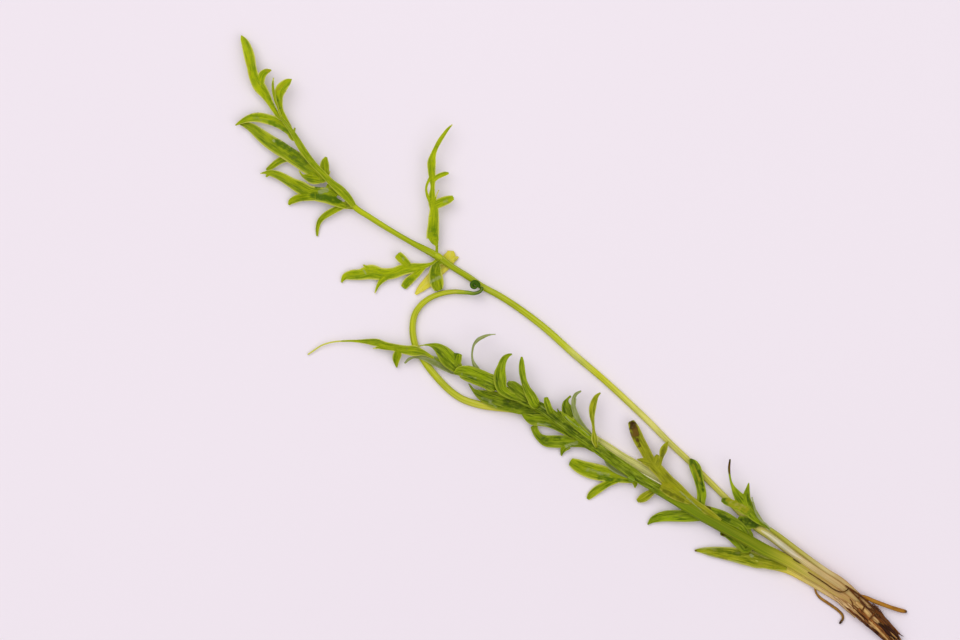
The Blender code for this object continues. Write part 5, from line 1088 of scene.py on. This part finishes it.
def smooth_run(points, count):
    """A smooth curve through the points, all their columns together, read at `count` even places."""
    points = np.array(points, float)
    gaps = np.linalg.norm(np.diff(points[:, :2], axis=0), axis=1)
    places = np.concatenate(([0.0], np.cumsum(gaps)))
    slopes = np.gradient(points, places, axis=0)
    wanted = np.linspace(0.0, places[-1], count)
    index = np.clip(np.searchsorted(places, wanted, side="right") - 1, 0, len(gaps) - 1)
    gap = gaps[index][:, None]
    t = ((wanted - places[index]) / gaps[index])[:, None]
    return ((2 * t**3 - 3 * t**2 + 1) * points[index] + (t**3 - 2 * t**2 + t) * gap * slopes[index]
            + (3 * t**2 - 2 * t**3) * points[index + 1] + (t**3 - t**2) * gap * slopes[index + 1])


def run_length(points):
    return np.linalg.norm(np.diff(np.array(points)[:, :2], axis=0), axis=1).sum()


def distances(points, columns):
    """How far along it each point of a run lies, in plan or in space."""
    steps = np.diff(points[:, :columns], axis=0)
    return np.concatenate(([0.0], np.cumsum(np.linalg.norm(steps, axis=1))))


def sideways(run):
    """Unit vectors to the left of a run, in plan, and along it."""
    along = np.gradient(run[:, :2], axis=0)
    along /= np.linalg.norm(along, axis=1)[:, None]
    return np.column_stack((-along[:, 1], along[:, 0])), along


def blade_outline(run):
    """The blade's edge in plan: up its right side, round the tip, down its left side."""
    left, along = sideways(run)
    half = run[:, 3:4] / 2
    turn = np.radians(np.linspace(-90, 90, TIP_POINTS + 2)[1:-1])[:, None]
    rounding = TIP_ROUNDING - (TIP_ROUNDING - BLUNT_ROUNDING) * min(half[-1, 0] / BLUNT_HALF, 1.0)
    jagged = 1 + JAG_DEPTH * np.sin(JAGS * turn + run[-1, 0])
    tip = run[-1, :2] + half[-1] * (along[-1] * rounding * jagged * np.cos(turn) ** TIP_FULLNESS
                                    + left[-1] * np.sin(turn))
    return np.concatenate((run[:, :2] - left * half, tip, (run[:, :2] + left * half)[::-1]))


def nearest_on(run, places):
    """Where each place is on a run: the segment, the share along it, and the signed distance to its left."""
    start, edge = run[:-1, :2], np.diff(run[:, :2], axis=0)
    offset = places[:, None, :] - start[None, :, :]
    t = np.clip((offset * edge).sum(2) / (edge**2).sum(1), 0.0, 1.0)
    away = offset - t[:, :, None] * edge
    gap = np.linalg.norm(away, axis=2)
    best = gap.argmin(axis=1)
    rows = np.arange(len(places))
    turned = edge[best, 0] * away[rows, best, 1] - edge[best, 1] * away[rows, best, 0]
    return best, t[rows, best], gap[rows, best] * np.where(turned < 0, -1.0, 1.0)


def inner_places(run, earlier):
    """Points inside a blade, in rows across it, without those that an earlier blade already has."""
    left, _ = sideways(run)
    found = []
    for centre, side in zip(run[1:-1], left[1:-1]):
        columns = max(1, round(centre[3] / LEAF_STEP))
        shares = np.arange(1, columns) / columns * 2 - 1
        found.append(centre[:2] + side * shares[:, None] * centre[3] / 2)
    found = np.concatenate(found)
    for other in earlier:
        best, t, gap = nearest_on(other, found)
        half = (other[best, 3] * (1 - t) + other[best + 1, 3] * t) / 2
        found = found[np.abs(gap) > half + SEAM_GAP]
    return found


def leaf_surface(places, runs, phase):
    """The leaf over each place: its height, and its course as (along, across, share of the way to the
    margin). Blades that meet are blended."""
    total = np.zeros(len(places))
    weights = np.zeros(len(places))
    strongest = np.zeros(len(places))
    course = np.zeros((len(places), 3))
    for number, run in enumerate(runs):
        best, t, gap = nearest_on(run, places)
        lengths = distances(run, 2)
        along = lengths[best] * (1 - t) + lengths[best + 1] * t
        height = run[best, 2] * (1 - t) + run[best + 1, 2] * t
        half = (run[best, 3] * (1 - t) + run[best + 1, 3] * t) / 2
        reach = np.clip(np.abs(gap) / half, 0.0, FARTHEST_REACH)
        signed = reach * np.sign(gap)
        wave = phase + number * BLADE_PHASE + np.where(gap < 0, SIDE_PHASE, 0.0)
        body = np.clip(half / FULL_HALF, LEAST_BODY, 1.0) * np.clip(along / BODY_START, 0.0, 1.0)
        height = (height + FOLD_DEPTH * reach**2
                  - MIDRIB_DEPTH * np.exp(-(gap / (MIDRIB_WIDTH / 2)) ** 2) * body
                  + WAVE_HEIGHT * body * reach**2 * np.sin(2 * math.pi * along / WAVE_LENGTH + wave)
                  + TWIST_HEIGHT * body * signed * np.sin(2 * math.pi * along / TWIST_LENGTH + phase * 2))
        weight = np.clip(1.0 - (reach / BLEND_REACH) ** 2, 0.0, 1.0) + LEAST_WEIGHT
        total += weight * height
        weights += weight
        stronger = weight > strongest
        strongest = np.where(stronger, weight, strongest)
        course[stronger] = np.column_stack((along + number * BLADE_SHIFT, gap, reach))[stronger]
    return total / weights, course


def spots_over(places, spots):
    """The marks' strength at each place, in the order of MARK_KINDS, from spots drawn as short lines."""
    shown = np.zeros((len(places), len(MARK_KINDS)))
    for kind, x0, y0, x1, y1, radius, strength in spots:
        run = np.array(((x0, y0), (x1 + NUDGE, y1)))
        gap = np.abs(nearest_on(run, places)[2])
        share = np.clip((MARK_END - gap / radius) / MARK_FADE, 0.0, 1.0)
        column = MARK_KINDS.index(kind)
        shown[:, column] = np.maximum(shown[:, column], strength * share * share * (3 - 2 * share))
    return shown


def blade_runs(blades):
    """Each blade as a fine run, its heights kept within those of its points, its width drawn wider."""
    runs = []
    for blade in blades:
        run = smooth_run(blade, max(FEWEST_ROWS, round(run_length(blade) / LEAF_STEP) + 1))
        heights = [row[2] for row in blade]
        run[:, 2] = np.clip(run[:, 2], min(heights), max(heights))
        run[:, 3] += WIDENING * np.clip((run[:, 3] - THREAD_WIDTH) / WIDENING_SPAN, 0.0, 1.0)
        runs.append(run)
    return runs


def leaf_plan(runs, holes):
    """The union of the blades' outlines as triangles in plan, without the holes: its places, and each
    triangle's corners."""
    edges = [blade_outline(run) for run in runs]
    corners = [corner for outline in edges for corner in outline]
    ends = np.cumsum([len(outline) for outline in edges]).tolist()
    faces = [list(range(end - len(outline), end)) for outline, end in zip(edges, ends)]
    for number, run in enumerate(runs):
        inside = inner_places(run, runs[:number])
        for outline in edges[number + 1:]:
            gaps = np.linalg.norm(inside[:, None, :] - outline[None, :, :], axis=2)
            inside = inside[gaps.min(axis=1) > OUTLINE_GAP]
        corners.extend(inside)
    corners = [Vector(corner) for corner in corners]
    places, _, triangles, _, _, owners = delaunay_2d_cdt(corners, [], faces, 1, MERGE_GAP)
    middles = np.array([[sum(places[corner][axis] for corner in t) / 3 for axis in (0, 1)]
                        for t in triangles])
    pierced = np.zeros(len(triangles), bool)
    for x0, y0, x1, y1, reach in holes:
        pierced |= np.abs(nearest_on(np.array(((x0, y0), (x1, y1))), middles)[2]) < reach
    triangles = [t for t, owner, gone in zip(triangles, owners, pierced) if owner and not gone]
    used = sorted({corner for triangle in triangles for corner in triangle})
    number = {corner: index for index, corner in enumerate(used)}
    triangles = np.array([[number[corner] for corner in triangle] for triangle in triangles])
    return np.array([places[corner][:] for corner in used]), triangles


def upward_normals(middle, triangles):
    """Each point's unit normal, once every triangle is turned to face up."""
    a, b, c = (middle[triangles[:, i]] for i in range(3))
    facing = np.cross(b - a, c - a)
    flipped = facing[:, 2] < 0
    triangles[flipped] = triangles[flipped][:, ::-1]
    facing[flipped] *= -1
    normals = np.zeros_like(middle)
    for i in range(3):
        np.add.at(normals, triangles[:, i], facing)
    return normals / np.linalg.norm(normals, axis=1)[:, None]


def leaf_mesh(name, blades, phase):
    """A thin closed sheet over the union of the blades, thinner towards its margin, with its course and its
    marks, painted shade and glints among them, stored for the material."""
    runs = blade_runs(blades)
    places, triangles = leaf_plan(runs, HOLES.get(name, []))
    height, course = leaf_surface(places, runs, phase)
    middle = np.column_stack((places, height))
    normals = upward_normals(middle, triangles)
    reach = np.clip(course[:, 2:], 0.0, 1.0)
    half = (LEAF_THICKNESS - (LEAF_THICKNESS - MARGIN_THICKNESS) * reach**4) / 2
    keel = KEEL_DEPTH * np.exp(-(course[:, 1:2] / (MIDRIB_WIDTH / 2)) ** 2)
    upper, lower = middle + normals * half, middle - normals * (half + keel)
    lower[:, 2] = np.minimum(np.maximum(lower[:, 2], LEAF_FLOOR), TOP_HEIGHT - TOP_GAP)
    upper[:, 2] = np.clip(upper[:, 2], lower[:, 2] + LEAST_THICKNESS, TOP_HEIGHT)
    sides = {(t[i], t[(i + 1) % 3]) for t in triangles for i in range(3)}
    count = len(middle)
    walls = [(a + count, b + count, b, a) for a, b in sorted(sides) if (b, a) not in sides]
    mesh = bpy.data.meshes.new(name)
    mesh.from_pydata((np.concatenate((upper, lower)) * MM).tolist(), [],
                     triangles.tolist() + (triangles[:, ::-1] + count).tolist() + walls)
    marks = spots_over(places, LEAF_MARKS_AND_PAINTED_LIGHT.get(name, []))
    for label, kind, field, values in (("course", "FLOAT_VECTOR", "vector", course),
                                       ("marks", "FLOAT_COLOR", "color", marks)):
        both = np.concatenate((values, values)).astype(np.float32)
        mesh.attributes.new(label, kind, "POINT").data.foreach_set(field, both.ravel())
    mesh.shade_smooth()
    mesh.set_sharp_from_angle(angle=math.radians(LEAF_CREASE))
    return mesh


def with_lead(name, blades):
    """The blades, the leading one taken back to the middle of the stalk that it grows from."""
    blades = [list(blade) for blade in blades]
    first = LEADING_BLADE.get(name, 0)
    if name in LEADS:
        lead = LEADS[name]
    else:
        frond = name.split("_")[0].replace("middle", "long")
        route = STALKS[frond + "_frond_stalk"]
        stalk = smooth_run(route, round(run_length(route) / LEAD_STEP))
        base = np.array(blades[first][0])
        near = np.linalg.norm(stalk[:, :2] - base[:2], axis=1).argmin()
        inner, outer = stalk[max(0, near - LEAD_INNER)], stalk[max(0, near - LEAD_OUTER)]
        aside = (base[:2] - outer[:2]) / np.linalg.norm(base[:2] - outer[:2])
        width = min(base[3], outer[3] * LEAD_WIDEST)
        x, y = outer[:2] + aside * outer[3] * LEAD_ASIDE
        lead = [(inner[0], inner[1], inner[2], width * LEAD_NARROWING), (x, y, outer[2], width)]
    blades[first] = lead + blades[first]
    return blades + SMALL_BLADES.get(name, [])


def add_piece(name, mesh, finish, nodes=()):
    """Puts a finished mesh in the scene with its material, riding on the plant's one body."""
    piece = bpy.data.objects.new(name, mesh)
    bpy.context.scene.collection.objects.link(piece)
    mesh.name = name
    mesh.materials.clear()
    mesh.materials.append(finish)
    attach(piece, "root")
    if nodes:
        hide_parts(*nodes)


def geometry_tree(name, inputs):
    """A Geometry Nodes tree with inputs named for what they are, each (name, kind)."""
    tree = bpy.data.node_groups.new(name, "GeometryNodeTree")
    for label, kind in (("Geometry", "Geometry"), *inputs, ("Material", "Material")):
        tree.interface.new_socket(label, in_out="INPUT", socket_type="NodeSocket" + kind)
    tree.interface.new_socket("Geometry", in_out="OUTPUT", socket_type="NodeSocketGeometry")
    return tree, tree.nodes.new("NodeGroupInput").outputs


def random_value(tree, least, most, inputs):
    return add(tree, "FunctionNodeRandomValue", {2: least, 3: most, **inputs}, output=1, data_type="FLOAT")


def crosswise(tree):
    """Unit vectors to a path's side and above it."""
    ahead = add(tree, "GeometryNodeInputTangent")
    side = vectors(tree, "NORMALIZE", vectors(tree, "CROSS_PRODUCT", (0.0, 0.0, 1.0), ahead))
    return side, vectors(tree, "CROSS_PRODUCT", ahead, side)


def oval(tree, reach, turn, side, above):
    """A vector across a path: its width and height, times `reach`, at an angle round it."""
    wide, high = (maths(tree, "MULTIPLY", maths(tree, "MULTIPLY", add(tree, NAMED, (name,)), reach),
                        maths(tree, wave, turn)) for name, wave in (("width", "COSINE"), ("height", "SINE")))
    return wide, high, vectors(tree, "ADD", scaled(tree, side, wide), scaled(tree, above, high))


def tube_over(tree, paths, sides, ribs=0.0, rib_depth=0.0, groove=0.0):
    """A closed tube over each path, as wide and high as the path's points say, with ribs along it and a
    groove along its top."""
    side, above = crosswise(tree)
    kept = (("centre", add(tree, "GeometryNodeInputPosition")), ("side", side), ("above", above))
    for name, value in kept:
        paths = add(tree, STORE, {0: paths, "Name": name, "Value": value}, data_type="FLOAT_VECTOR")
    length = add(tree, "GeometryNodeSplineParameter", output="Length")
    paths = add(tree, STORE, {0: paths, "Name": "along", "Value": length})
    ring = add(tree, "GeometryNodeCurvePrimitiveCircle", {"Resolution": sides, "Radius": MM})
    turn = maths(tree, "MULTIPLY", add(tree, "GeometryNodeSplineParameter"), 2 * math.pi)
    ring = add(tree, STORE, {0: ring, "Name": "around", "Value": turn})
    tube = add(tree, "GeometryNodeCurveToMesh", {"Curve": paths, "Profile Curve": ring, "Fill Caps": True})
    around = add(tree, NAMED, ("around",))
    centre, side, above = (add(tree, NAMED, (name,), data_type="FLOAT_VECTOR") for name, _ in kept)
    wide, high, out = oval(tree, 0.5, around, side, above)
    crest = maths(tree, "SINE", around)
    swell = maths(tree, "MULTIPLY_ADD", maths(tree, "COSINE", maths(tree, "MULTIPLY", around, ribs)),
                  rib_depth, 1.0)
    hollow = maths(tree, "POWER", maths(tree, "MAXIMUM", crest, 0.0), GROOVE_SHARPNESS)
    swell = maths(tree, "SUBTRACT", swell, maths(tree, "MULTIPLY", hollow, groove))
    spot = vectors(tree, "ADD", centre, scaled(tree, out, swell))
    placed = add(tree, "GeometryNodeSetPosition", {0: tube, "Position": spot})
    strand = add(tree, "ShaderNodeCombineXYZ", (add(tree, NAMED, ("along",)), wide, high))
    placed = add(tree, STORE, {0: placed, "Name": "strand", "Value": scaled(tree, strand, 1 / MM)},
                 data_type="FLOAT_VECTOR")
    return add(tree, STORE, {0: placed, "Name": "crest", "Value": crest})


def end_tree(tree, geometry, finish):
    """Closes a tree: instances made real, one material set."""
    real = add(tree, "GeometryNodeRealizeInstances", (geometry,))
    clad = add(tree, "GeometryNodeSetMaterial", {0: real, "Material": finish})
    tree.links.new(clad, tree.nodes.new("NodeGroupOutput").inputs[0])
    return tree


def tube_tree():
    """One tube along each path of the source mesh."""
    tree, given = geometry_tree("tube_along_path", [
        ("Sides", "Int"), ("Ribs", "Float"), ("Rib Depth", "Float"), ("Groove", "Float")])
    paths = add(tree, "GeometryNodeMeshToCurve", (given["Geometry"],))
    tube = tube_over(tree, paths, given["Sides"], given["Ribs"], given["Rib Depth"], given["Groove"])
    return end_tree(tree, tube, given["Material"])


def bundle_tree():
    """Many strands round one path, spread over its width and height, each wandering a little and
    starting and ending at its own place."""
    tree, given = geometry_tree("strands_round_path", [
        ("Strands", "Int"), ("Thinnest", "Float"), ("Thickest", "Float"), ("Wander", "Float"),
        ("Late Start", "Float"), ("Early End", "Float"), ("Seed", "Int"), ("Sides", "Int")])
    path = add(tree, "GeometryNodeMeshToCurve", (given["Geometry"],))
    copies = add(tree, "GeometryNodeDuplicateElements", {"Geometry": path, "Amount": given["Strands"]},
                 domain="SPLINE")
    strands = add(tree, STORE, {0: copies, "Name": "number", "Value": copies.node.outputs[1]},
                  domain="CURVE")
    number = add(tree, NAMED, ("number",))
    angle, distance, bulk, begun, ended = (
        random_value(tree, 0.0, 1.0, {"ID": number, "Seed": maths(tree, "ADD", given["Seed"], float(shift))})
        for shift in range(5))
    turn = maths(tree, "MULTIPLY", angle, 2 * math.pi)
    reach = maths(tree, "MULTIPLY", maths(tree, "SQRT", distance), 0.5)
    offset = oval(tree, reach, turn, *crosswise(tree))[2]
    here = scaled(tree, add(tree, "GeometryNodeInputPosition"), WANDER_SCALE)
    own = vectors(tree, "ADD", here, scaled(tree, STRAND_SHIFT, number))
    drift = vectors(tree, "SUBTRACT", noise(tree, own, 1.0, 1.0, "Color"), (0.5, 0.5, 0.5))
    offset = vectors(tree, "ADD", offset, scaled(tree, drift, given["Wander"]))
    moved = add(tree, "GeometryNodeSetPosition", {0: strands, "Offset": offset})
    share = maths(tree, "POWER", add(tree, "GeometryNodeSplineParameter"), THINNING_DELAY)
    taper = maths(tree, "MULTIPLY_ADD", share, -TIP_THINNING, 1.0)
    thick = add(tree, RANGE, {0: maths(tree, "POWER", bulk, THIN_BIAS), 3: given["Thinnest"],
                              4: given["Thickest"]})
    thick = maths(tree, "MULTIPLY", thick, taper)
    for name in ("width", "height"):
        moved = add(tree, STORE, {0: moved, "Name": name, "Value": thick})
    start = maths(tree, "MULTIPLY", begun, given["Late Start"])
    end = maths(tree, "SUBTRACT", 1.0, maths(tree, "MULTIPLY", ended, given["Early End"]))
    cut = add(tree, "GeometryNodeTrimCurve", {"Curve": moved, "Start": start, "End": end}, mode="FACTOR")
    return end_tree(tree, tube_over(tree, cut, given["Sides"]), given["Material"])


def hair_tree():
    """Short hairs standing on a surface, each leaning its own way."""
    tree, given = geometry_tree("hairs_on_surface", [
        ("Density", "Float"), ("Length", "Float"), ("Radius", "Float"), ("Seed", "Int")])
    points = add(tree, "GeometryNodeDistributePointsOnFaces",
                 {"Mesh": given["Geometry"], "Density": given["Density"], "Seed": given["Seed"]})
    cone = add(tree, "GeometryNodeMeshCone",
               {"Vertices": HAIR_SIDES, "Side Segments": HAIR_PARTS, "Radius Top": HAIR_TIP,
                "Radius Bottom": given["Radius"], "Depth": given["Length"]})
    lean = add(tree, "FunctionNodeRandomValue",
               {0: (-HAIR_LEAN,) * 3, 1: (HAIR_LEAN,) * 3, "Seed": given["Seed"]}, data_type="FLOAT_VECTOR")
    aim = vectors(tree, "ADD", points.node.outputs["Normal"], lean)
    turned = add(tree, "FunctionNodeAlignRotationToVector", {"Vector": aim}, axis="Z")
    size = random_value(tree, *HAIR_SIZES, {"Seed": given["Seed"]})
    hairs = add(tree, "GeometryNodeInstanceOnPoints",
                {"Points": points, "Instance": cone, "Rotation": turned, "Scale": size})
    return end_tree(tree, hairs, given["Material"])


def grown(source, tree, settings):
    """The plain mesh that a tree grows from a source mesh. `settings` gives the tree's inputs by name."""
    holder = bpy.data.objects.new(tree.name, source)
    bpy.context.scene.collection.objects.link(holder)
    modifier = holder.modifiers.new(tree.name, "NODES")
    modifier.node_group = tree
    labels = {item.name: item.identifier for item in tree.interface.items_tree if item.in_out == "INPUT"}
    for label, value in settings.items():
        modifier[labels[label]] = value
    seen = holder.evaluated_get(bpy.context.evaluated_depsgraph_get())
    mesh = bpy.data.meshes.new_from_object(seen)
    holder.modifiers.remove(modifier)
    bpy.data.objects.remove(holder)
    work = bmesh.new()
    work.from_mesh(mesh)
    bmesh.ops.recalc_face_normals(work, faces=work.faces)
    work.to_mesh(mesh)
    work.free()
    for helper in ("centre", "side", "above", "along", "around", "width", "height"):
        if helper in mesh.attributes:
            mesh.attributes.remove(mesh.attributes[helper])
    mesh.shade_smooth()
    mesh.set_sharp_from_angle(angle=math.radians(TUBE_CREASE))
    return mesh


def path_mesh(routes):
    """Open paths whose points carry a width and a height. Each route is rows of (x, y, z, width, height)."""
    rows = np.concatenate(routes)
    edges = []
    first = 0
    for route in routes:
        edges += [(first + i, first + i + 1) for i in range(len(route) - 1)]
        first += len(route)
    mesh = bpy.data.meshes.new("path")
    mesh.from_pydata((rows[:, :3] * MM).tolist(), edges, [])
    for column, label in ((3, "width"), (4, "height")):
        mesh.attributes.new(label, "FLOAT", "POINT").data.foreach_set("value", rows[:, column] * MM)
    return mesh


def rounded_route(points, step):
    """A fine route through the points, narrowed to a round end at both ends."""
    route = smooth_run(points, max(FEWEST_POINTS, round(run_length(points) / step) + 1))
    places = distances(route, 3)
    for end, gaps in ((0, places), (-1, places[-1] - places)):
        reach = route[end, 3] * END_ROUNDING
        inside = np.clip(gaps / reach, 0.0, 1.0)
        route[:, 3:] *= np.sqrt(np.clip(1 - (1 - inside) ** 2, END_AREA, 1.0))[:, None]
    return route


def tubes(routes, finish, sides, ribs=0.0, rib_depth=0.0, groove=0.0):
    """Closed tubes along the routes."""
    return grown(path_mesh(routes), TUBES, {"Sides": sides, "Ribs": ribs, "Rib Depth": rib_depth,
                                            "Groove": groove, "Material": finish})


def bundle(name, finish):
    """A bundle of strands, as its row in BUNDLES says."""
    route, points, count, widths, wander, free_ends, seed, sides = BUNDLES[name]
    return grown(path_mesh([smooth_run(route, points)]), bundle_tree(), {
        "Strands": count, "Thinnest": widths[0], "Thickest": widths[1], "Wander": wander,
        "Late Start": free_ends[0], "Early End": free_ends[1], "Seed": seed, "Sides": sides,
        "Material": finish})


def laid_down(mesh):
    """Nothing reaches below the surface that the plant lies on."""
    for vertex in mesh.vertices:
        vertex.co.z = max(vertex.co.z, TUBE_FLOOR * MM)
    return mesh


def coil_route():
    """The coiled tip's course, from the outside of the coil to its heart."""
    shares = np.linspace(0.0, 1.0, COIL_POINTS)
    turn = COIL_START + shares * COIL_TURNS * 2 * math.pi
    radius = COIL_RADII[0] + (COIL_RADII[1] - COIL_RADII[0]) * shares**COIL_TIGHTENING
    width = COIL_WIDTHS[0] + (COIL_WIDTHS[1] - COIL_WIDTHS[0]) * shares
    height = COIL_HEIGHTS[0] + (COIL_HEIGHTS[1] - COIL_HEIGHTS[0]) * shares
    return np.column_stack((COIL_CENTRE[0] + radius * np.cos(turn), COIL_CENTRE[1] + radius * np.sin(turn),
                            height, width, width * COIL_DEPTH))


def build_leaves():
    looks = {leaf: look for look, leaves in LEAF_LOOKS.items() for leaf in leaves}
    finishes = {look: leaf_material("fern_blade_" + look, *tints) for look, tints in LEAF_COLOURS.items()}
    phase = 0.0
    for table, common in ((LONG_FROND_LEAVES, "leaf_bright"), (MIDDLE_LEAVES, "leaf_bright"),
                          (LEAFY_FROND_LEAVES, "leaf_green"), (SHORT_FROND_LEAVES, "leaf_green")):
        for name, blades in table.items():
            phase += LEAF_PHASE
            mesh = leaf_mesh(name, with_lead(name, blades), phase)
            add_piece(name + "_blade", mesh, finishes[looks[name]], [name])
    for name, blades in WINGS.items():
        add_piece(name, leaf_mesh(name, blades, phase), finishes[looks[name]])


def build_stalks():
    for name, (stops, ribs, depth, groove, contrast, pale, slot) in STALK_LOOKS.items():
        route = STALK_ROOTS[name] + STALKS[name] + STALK_ENDS.get(name, [])
        if name == "young_frond_stalk":
            route = route[:-2]  # young_frond_neck takes over here
        finish = stalk_material("fern_stalk_" + name.split("_")[0], stops, pale=pale, contrast=contrast)
        mesh = tubes([rounded_route(route, STALK_STEP)], finish, sides=28, ribs=ribs, rib_depth=depth,
                     groove=groove)
        add_piece(name + "_tube", mesh, finish, [name])
    for name, (route, stops) in STALK_DETAILS.items():
        finish = stalk_material(name + "_skin", stops)
        mesh = tubes([rounded_route(route, DETAIL_STEP)], finish, sides=14, ribs=3.0, rib_depth=0.05)
        add_piece(name, mesh, finish)
    finish = stalk_material("coiled_tip", COIL_COLOURS, strand=COIL_STRAND, pale=COIL_PALE)
    mesh = tubes([coil_route()], finish, sides=20, ribs=5.0, rib_depth=0.06)
    add_piece("young_frond_coil", mesh, finish, ["young_frond_crozier"])


def build_crown():
    skin = root_material("crown_skin")
    mesh = tubes([rounded_route(CROWN_ROUTE, CROWN_STEP)], skin, sides=56, ribs=11.0, rib_depth=0.07)
    add_piece("crown_core", laid_down(mesh), skin, ["crown"])
    dry = root_material("dry_stalk_bases")
    add_piece("crown_sheath", laid_down(bundle("crown_sheath", dry)), dry)
    finishes = {kind: root_material(kind) for kind in ("tan_strand", "dark_strand", "dead_root_strand")}
    for name, (routes, kind, slot) in BANDS.items():
        routes = [rounded_route(route, STRAND_STEP) for route in routes]
        mesh = tubes(routes, finishes[kind], sides=12, ribs=3.0, rib_depth=0.08)
        add_piece(name, laid_down(mesh), finishes[kind])


def build_roots():
    bark = root_material("root_skin", tuft_side=TUFT_SIDE * MM)
    mesh = laid_down(bundle("root_tuft", bark))
    add_piece("root_tuft", mesh, bark, [f"root_{n}" for n in range(1, 10)])
    down = root_material("root_hair")
    felt = tubes([rounded_route(FELT_ROUTE, FELT_STEP)], bark, sides=10)
    mesh = grown(felt, hair_tree(), {"Density": HAIR_DENSITY, "Length": HAIR_LENGTH, "Radius": HAIR_RADIUS,
                                     "Seed": HAIR_SEED, "Material": down})
    add_piece("root_hairs", laid_down(mesh), down)
    for name, route in LOOSE_ROOTS.items():
        finish = root_material(name + "_skin", tip=ROOT_TIPS[name])
        route = ROOT_STARTS.get(name, []) + route
        mesh = tubes([rounded_route(route, ROOT_STEP)], finish, sides=18, ribs=5.0, rib_depth=0.05)
        add_piece(name + "_strand", laid_down(mesh), finish, [name])


def build_setting():
    """A pale lilac-white surface, two soft lights to either side, and the camera straight above."""
    scene = bpy.context.scene
    made, tree, shader = new_material("matt_paper")
    grain = noise(tree, add(tree, "ShaderNodeTexCoord", output="Object"), *PAPER_NOISE)
    tree.links.new(mixed(tree, grain, *PAPER_COLOURS), shader.inputs["Base Color"])
    shader.inputs["Roughness"].default_value = PAPER_ROUGHNESS
    mesh = bpy.data.meshes.new("floor")
    corners = [(x * PAPER_HALF_SIZE, y * PAPER_HALF_SIZE, 0) for x, y in ((-1, -1), (1, -1), (1, 1), (-1, 1))]
    mesh.from_pydata(corners, [], [(0, 1, 2, 3)])
    mesh.materials.append(made)
    floor = bpy.data.objects.new("floor", mesh)
    scene.collection.objects.link(floor)
    scene.world = bpy.data.worlds.new("studio")
    scene.world.use_nodes = True
    sky = scene.world.node_tree.nodes["Background"].inputs
    sky["Color"].default_value = from_hex(WORLD_COLOUR)
    sky["Strength"].default_value = WORLD_STRENGTH
    for name, x, y, z, size, power in LIGHTS:
        lamp = bpy.data.lights.new(name, "AREA")
        lamp.size = size
        lamp.energy = power
        light = bpy.data.objects.new(name, lamp)
        light.location = (x, y, z)
        light.rotation_euler = Vector((x, y, z)).to_track_quat("Z", "Y").to_euler()
        scene.collection.objects.link(light)
    camera = bpy.data.objects.new("camera", bpy.data.cameras.new("camera"))
    camera.data.lens = CAMERA_LENS
    camera.data.sensor_width = SENSOR_WIDTH
    camera.data.clip_end = FARTHEST_SEEN
    camera.location = (CAMERA_PLACE[0] * MM, CAMERA_PLACE[1] * MM,
                       PHOTO_WIDTH * CAMERA_LENS / SENSOR_WIDTH * MM + LOOKED_AT_HEIGHT * MM)
    scene.collection.objects.link(camera)
    scene.camera = camera
    scene.view_settings.view_transform = "Standard"


TUBES = tube_tree()
build_leaves()
build_stalks()
build_crown()
build_roots()
build_setting()
